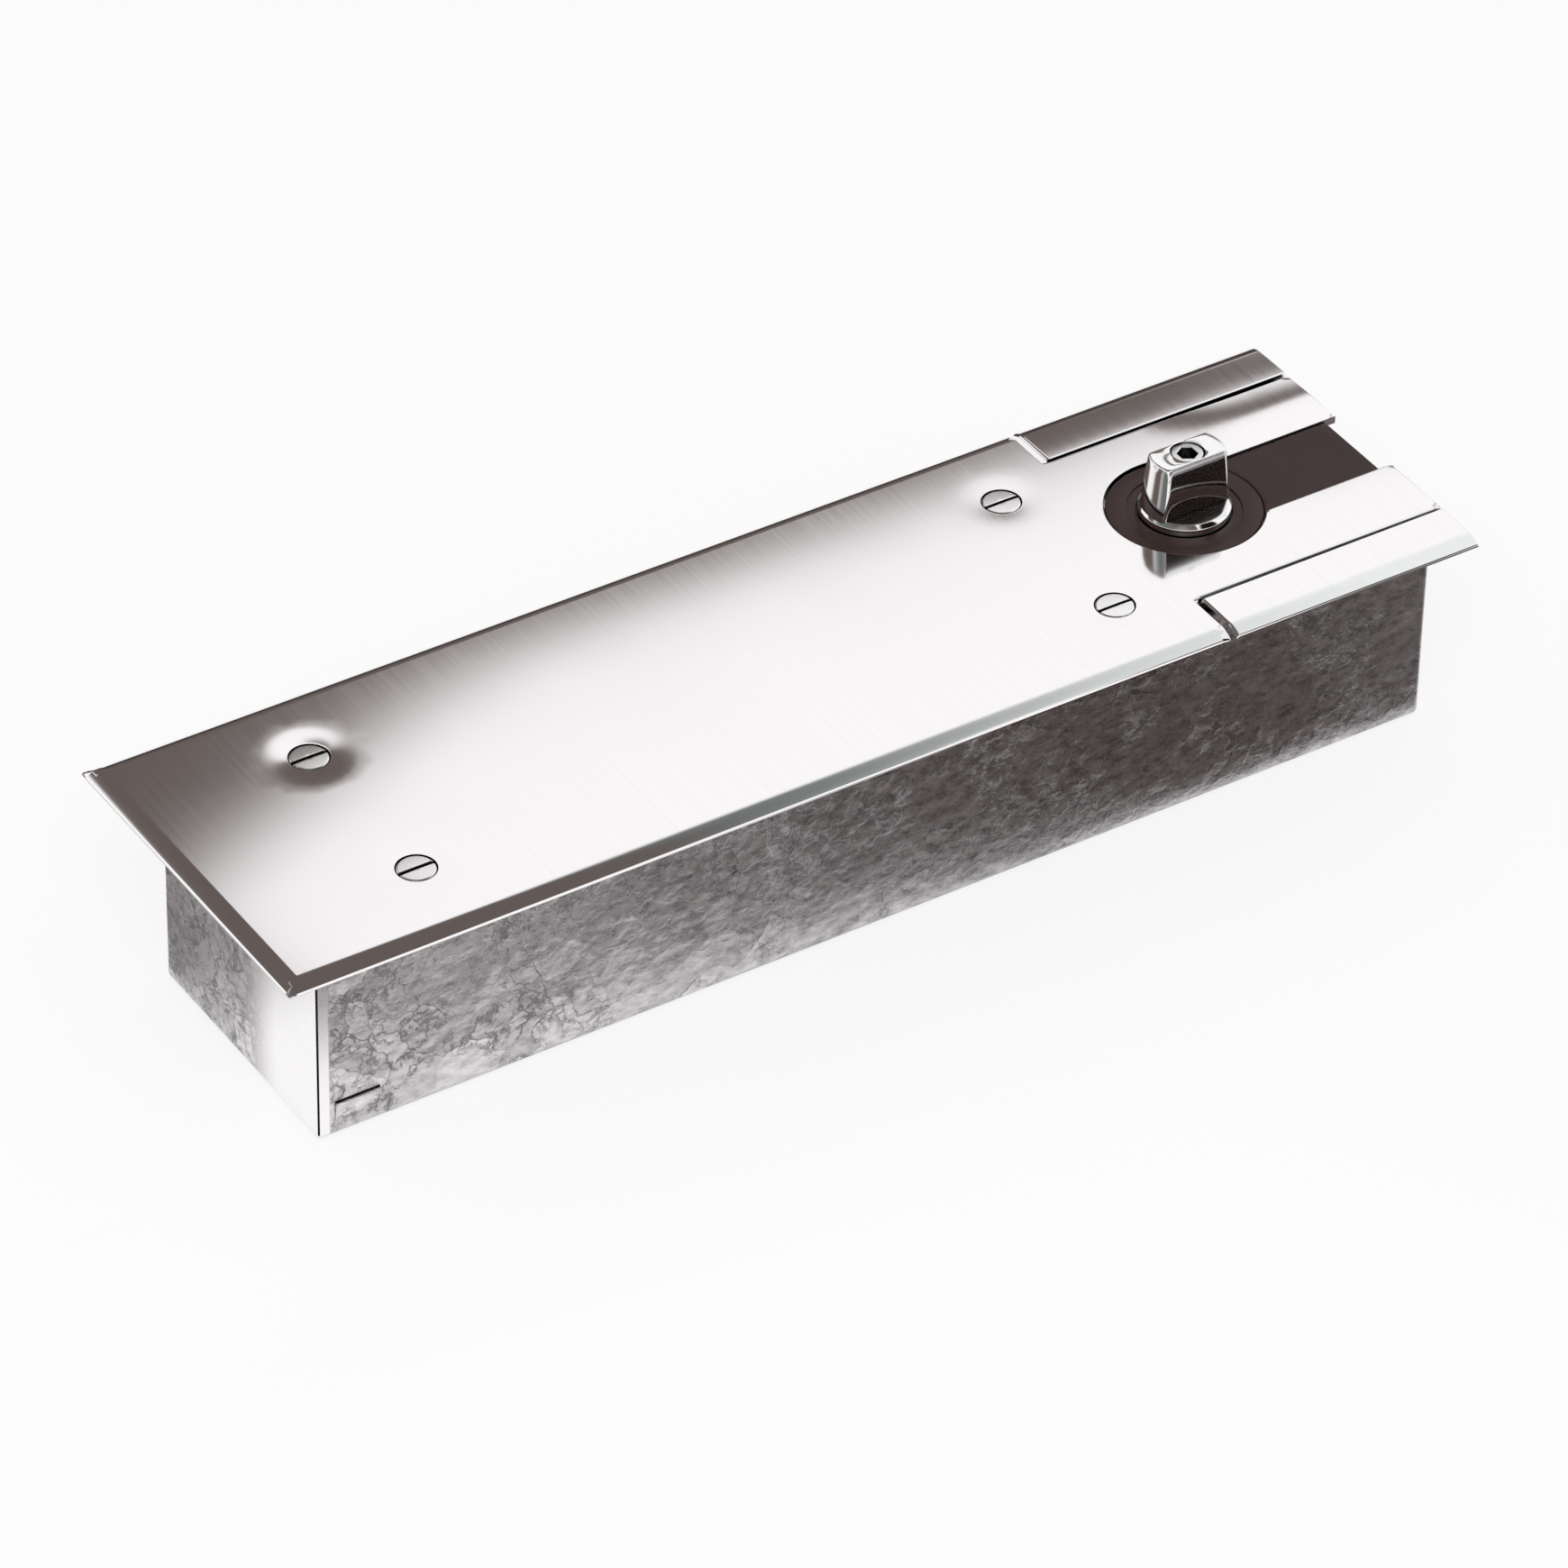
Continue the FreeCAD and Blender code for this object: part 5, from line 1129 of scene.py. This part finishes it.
def make_overhead():
    """A bright window in a dark frame above the part, with a soft edge and a slanting corner.

    The frame is bright again in a patch at its right back, for the spindle's side, and at its far
    left, for the ends of the rim.
    """
    graph = Emitter("window")
    x, y, _ = graph.axes()
    left = graph.minus(graph.math("MULTIPLY_ADD", y, WINDOW_LEAN, WINDOW_LEFT), x)
    back = graph.times(graph.minus(y, WINDOW_BACK), BACK_SHARPNESS)
    upward = graph.times(y, math.cos(SLANT))
    slant = graph.math("MULTIPLY_ADD", x, -math.sin(SLANT), upward)
    slant = graph.minus(slant, SLANT_START)
    outward = graph.math("SMOOTH_MAX", left, back, CORNER_BLEND)
    outward = graph.math("SMOOTH_MAX", outward, slant, CORNER_BLEND)
    dark = graph.step(outward, *WINDOW_SOFT)
    right_back = graph.times(graph.step(y, 0.67, 0.80), graph.step(x, 0.66, 0.78))
    right_back = graph.times(right_back, graph.step(y, 1.05, 0.95))
    beside_rim = graph.larger(graph.step(y, 0.38, 0.28), graph.step(y, 0.64, 0.70))
    far_left = graph.times(graph.step(x, -0.2, -0.32), beside_rim)
    shade = graph.minus(dark, graph.larger(right_back, far_left))
    front = graph.ramp(
        x,
        (0.18, (0.14, 0.16, 0.155)),
        (0.24, (0.19, 0.21, 0.205)),
        (0.30, (0.40, 0.43, 0.42)),
        (0.36, (0.66, 0.70, 0.69)),
        (0.46, (0.86, 0.90, 0.89)),
    )
    nearest = graph.times(graph.step(y, -0.36, -0.46), graph.step(x, 0.3, 0.4))
    beyond = graph.larger(graph.step(y, 0.1, 0.5), nearest)
    bright = graph.mixed(beyond, front, WHITE)
    graph.glows(graph.mixed(shade, bright, DARK))
    outline = [(-1.6, -0.8), (0.32, -0.8), (0.32, -0.5), (1.8, -0.5), (1.8, 1.8), (-1.6, 1.8)]
    corners = [(*corner, WINDOW_HEIGHT) for corner in outline]
    make_card("overhead_card", corners, graph.material)


def make_dark_spot():
    """A dark spot with a soft edge in front of the spindle, which its flat side mirrors."""
    graph = Emitter("dark_spot")
    x, _, z = graph.axes()
    aside = graph.math("DIVIDE", graph.minus(x, SPOT_MIDDLE.x), SPOT_HALF.x)
    above = graph.math("DIVIDE", graph.minus(z, SPOT_MIDDLE.z), SPOT_HALF.z)
    away = graph.math("MULTIPLY_ADD", aside, aside, graph.times(above, above))
    share = graph.step(away, 1.0, 0.4)
    graph.glows(graph.mixed(share, WHITE, DARK_SPOT))
    outline = rectangle((SPOT_MIDDLE - SPOT_HALF).xz, (SPOT_MIDDLE + SPOT_HALF).xz)
    corners = [(x, SPOT_MIDDLE.y, z) for x, z in outline]
    make_card("dark_spot_card", corners, graph.material)


def make_dark_wall():
    """A dark wall far behind the part, from the floor to just over the window's height."""
    corners = [(x, 1.8, z) for x, z in rectangle((-1.6, 0.0), (2.4, BACK_WALL_HEIGHT))]
    make_card("dark_room_at_the_back", corners, Emitter("dark_back", scaled(DARK, 0.45)).material)


def make_painted_floor_shade():
    """Painted floor shade that only the box's sides mirror: darker to the right, and behind the left
    end.
    """
    graph = Emitter("painted_floor_shade")
    x, y, _ = graph.axes()
    rightward = graph.math("MULTIPLY_ADD", y, -5.0, x)
    front = graph.step(rightward, 0.14, 0.36)
    near = graph.step(y, -0.135, -0.120)
    front = graph.times(front, graph.larger(near, graph.step(x, 0.0, 0.1)))
    front = graph.times(front, graph.between(graph.step(x, 0.26, 0.12), 0.88, 1.0))
    behind = graph.between(graph.step(x, -0.21, -0.185), 0.4, 0.85)
    behind = graph.times(graph.step(y, 0.0, 0.05), behind)
    shade = graph.larger(front, behind)
    # Painted shade on the floor, which only reflections show.
    graph.glows(graph.mixed(shade, PALE_FLOOR, PAINTED_FLOOR_SHADE))
    front_side = rectangle((-0.3, -0.5), (0.5, -0.042))
    left_end = rectangle((-0.5, -0.04), (-0.168, 0.4))
    for name, outline in (("floor_in_front", front_side), ("floor_at_left", left_end)):
        make_card(name, [(*corner, FLOOR_CARD_HEIGHT) for corner in outline], graph.material)


def make_floor():
    """A pale floor that keeps the shadow and is nearly white for the camera."""
    mesh = bpy.data.meshes.new("floor")
    reach = 6.0
    corners = rectangle((-reach, -reach), (reach, reach))
    mesh.from_pydata([(x, y, 0) for x, y in corners], [], [(0, 1, 2, 3)])
    floor = bpy.data.objects.new("floor", mesh)
    floor.location.z = -0.05 * MM
    bpy.context.scene.collection.objects.link(floor)
    graph = Graph("floor", (0.93, 0.93, 0.93), 0.0, 0.95)
    white = graph.add("ShaderNodeEmission", {"Color": (*WHITE, 1)})
    mix = graph.add("ShaderNodeMixShader", {
        0: shown_rays(graph, 0.8),
        1: graph.shader.outputs["BSDF"],
        2: white.outputs["Emission"],
    })
    output = graph.tree.nodes["Material Output"]
    graph.tree.links.new(mix.outputs[0], output.inputs["Surface"])
    mesh.materials.append(graph.material)


def make_world():
    """White for the camera and for reflections, and a little dimmer as light on the object."""
    world = bpy.data.worlds.new("studio")
    bpy.context.scene.world = world
    world.use_nodes = True
    tree = world.node_tree
    shade = tree.nodes["Background"]
    shade.inputs["Color"].default_value = (*WHITE, 1)
    path = tree.nodes.new("ShaderNodeLightPath").outputs
    seen = path["Is Camera Ray"]
    for kind in ("Is Glossy Ray", "Is Transmission Ray"):
        either = tree.nodes.new("ShaderNodeMath")
        either.operation = "MAXIMUM"
        tree.links.new(seen, either.inputs[0])
        tree.links.new(path[kind], either.inputs[1])
        seen = either.outputs[0]
    strength = tree.nodes.new("ShaderNodeMapRange")
    strength.inputs["To Min"].default_value = 0.75
    strength.inputs["To Max"].default_value = 1.0
    tree.links.new(seen, strength.inputs["Value"])
    tree.links.new(strength.outputs["Result"], shade.inputs["Strength"])


def make_lamp(name, place, target, width, power):
    lamp = bpy.data.lights.new(name, "AREA")
    lamp.shape = "DISK"
    lamp.size = width
    lamp.energy = power
    holder = bpy.data.objects.new(name, lamp)
    bpy.context.scene.collection.objects.link(holder)
    holder.location = place
    holder.rotation_euler = (Vector(target) - Vector(place)).to_track_quat("-Z", "Y").to_euler()
    holder.visible_camera = False


def make_camera():
    back = Vector((
        math.sin(CAMERA_AZIMUTH) * math.cos(CAMERA_ELEVATION),
        -math.cos(CAMERA_AZIMUTH) * math.cos(CAMERA_ELEVATION),
        math.sin(CAMERA_ELEVATION),
    ))
    level = Vector((math.cos(CAMERA_AZIMUTH), math.sin(CAMERA_AZIMUTH), 0))
    upright = back.cross(level)
    right = math.cos(CAMERA_ROLL) * level + math.sin(CAMERA_ROLL) * upright
    up = -math.sin(CAMERA_ROLL) * level + math.cos(CAMERA_ROLL) * upright
    data = bpy.data.cameras.new("camera")
    data.sensor_width = SENSOR_WIDTH
    data.lens = SENSOR_WIDTH * FOCAL_PIXELS / PICTURE_PIXELS
    data.clip_end = 50
    camera = bpy.data.objects.new("camera", data)
    bpy.context.scene.collection.objects.link(camera)
    turn = Matrix((right, up, back)).transposed().to_4x4()
    camera.matrix_world = Matrix.Translation(CAMERA_TARGET + back * CAMERA_DISTANCE) @ turn
    bpy.context.scene.camera = camera


make_camera()
make_world()
make_floor()
make_lamp("key", place=(-0.8, -1.2, 1.6), target=(0, 0, 0.03), width=0.9, power=12.0)
make_overhead()
make_dark_spot()
make_dark_wall()
make_painted_floor_shade()
make_cover_plate()
make_side_strip("front")
make_side_strip("back")
make_cover_screws()
make_tab()
make_disc()
make_slot_insert()
make_spindle_piece()
make_socket_screw()
make_spring("front_return_coil", SPRING_SEAT_X, HEAD_FRONT_X, "return_spring_front")
make_spring("rear_return_coil", PLUG_X, HEAD_REAR_X, "return_spring_rear")
dress_cad_nodes()

bpy.context.scene.view_settings.view_transform = "Standard"
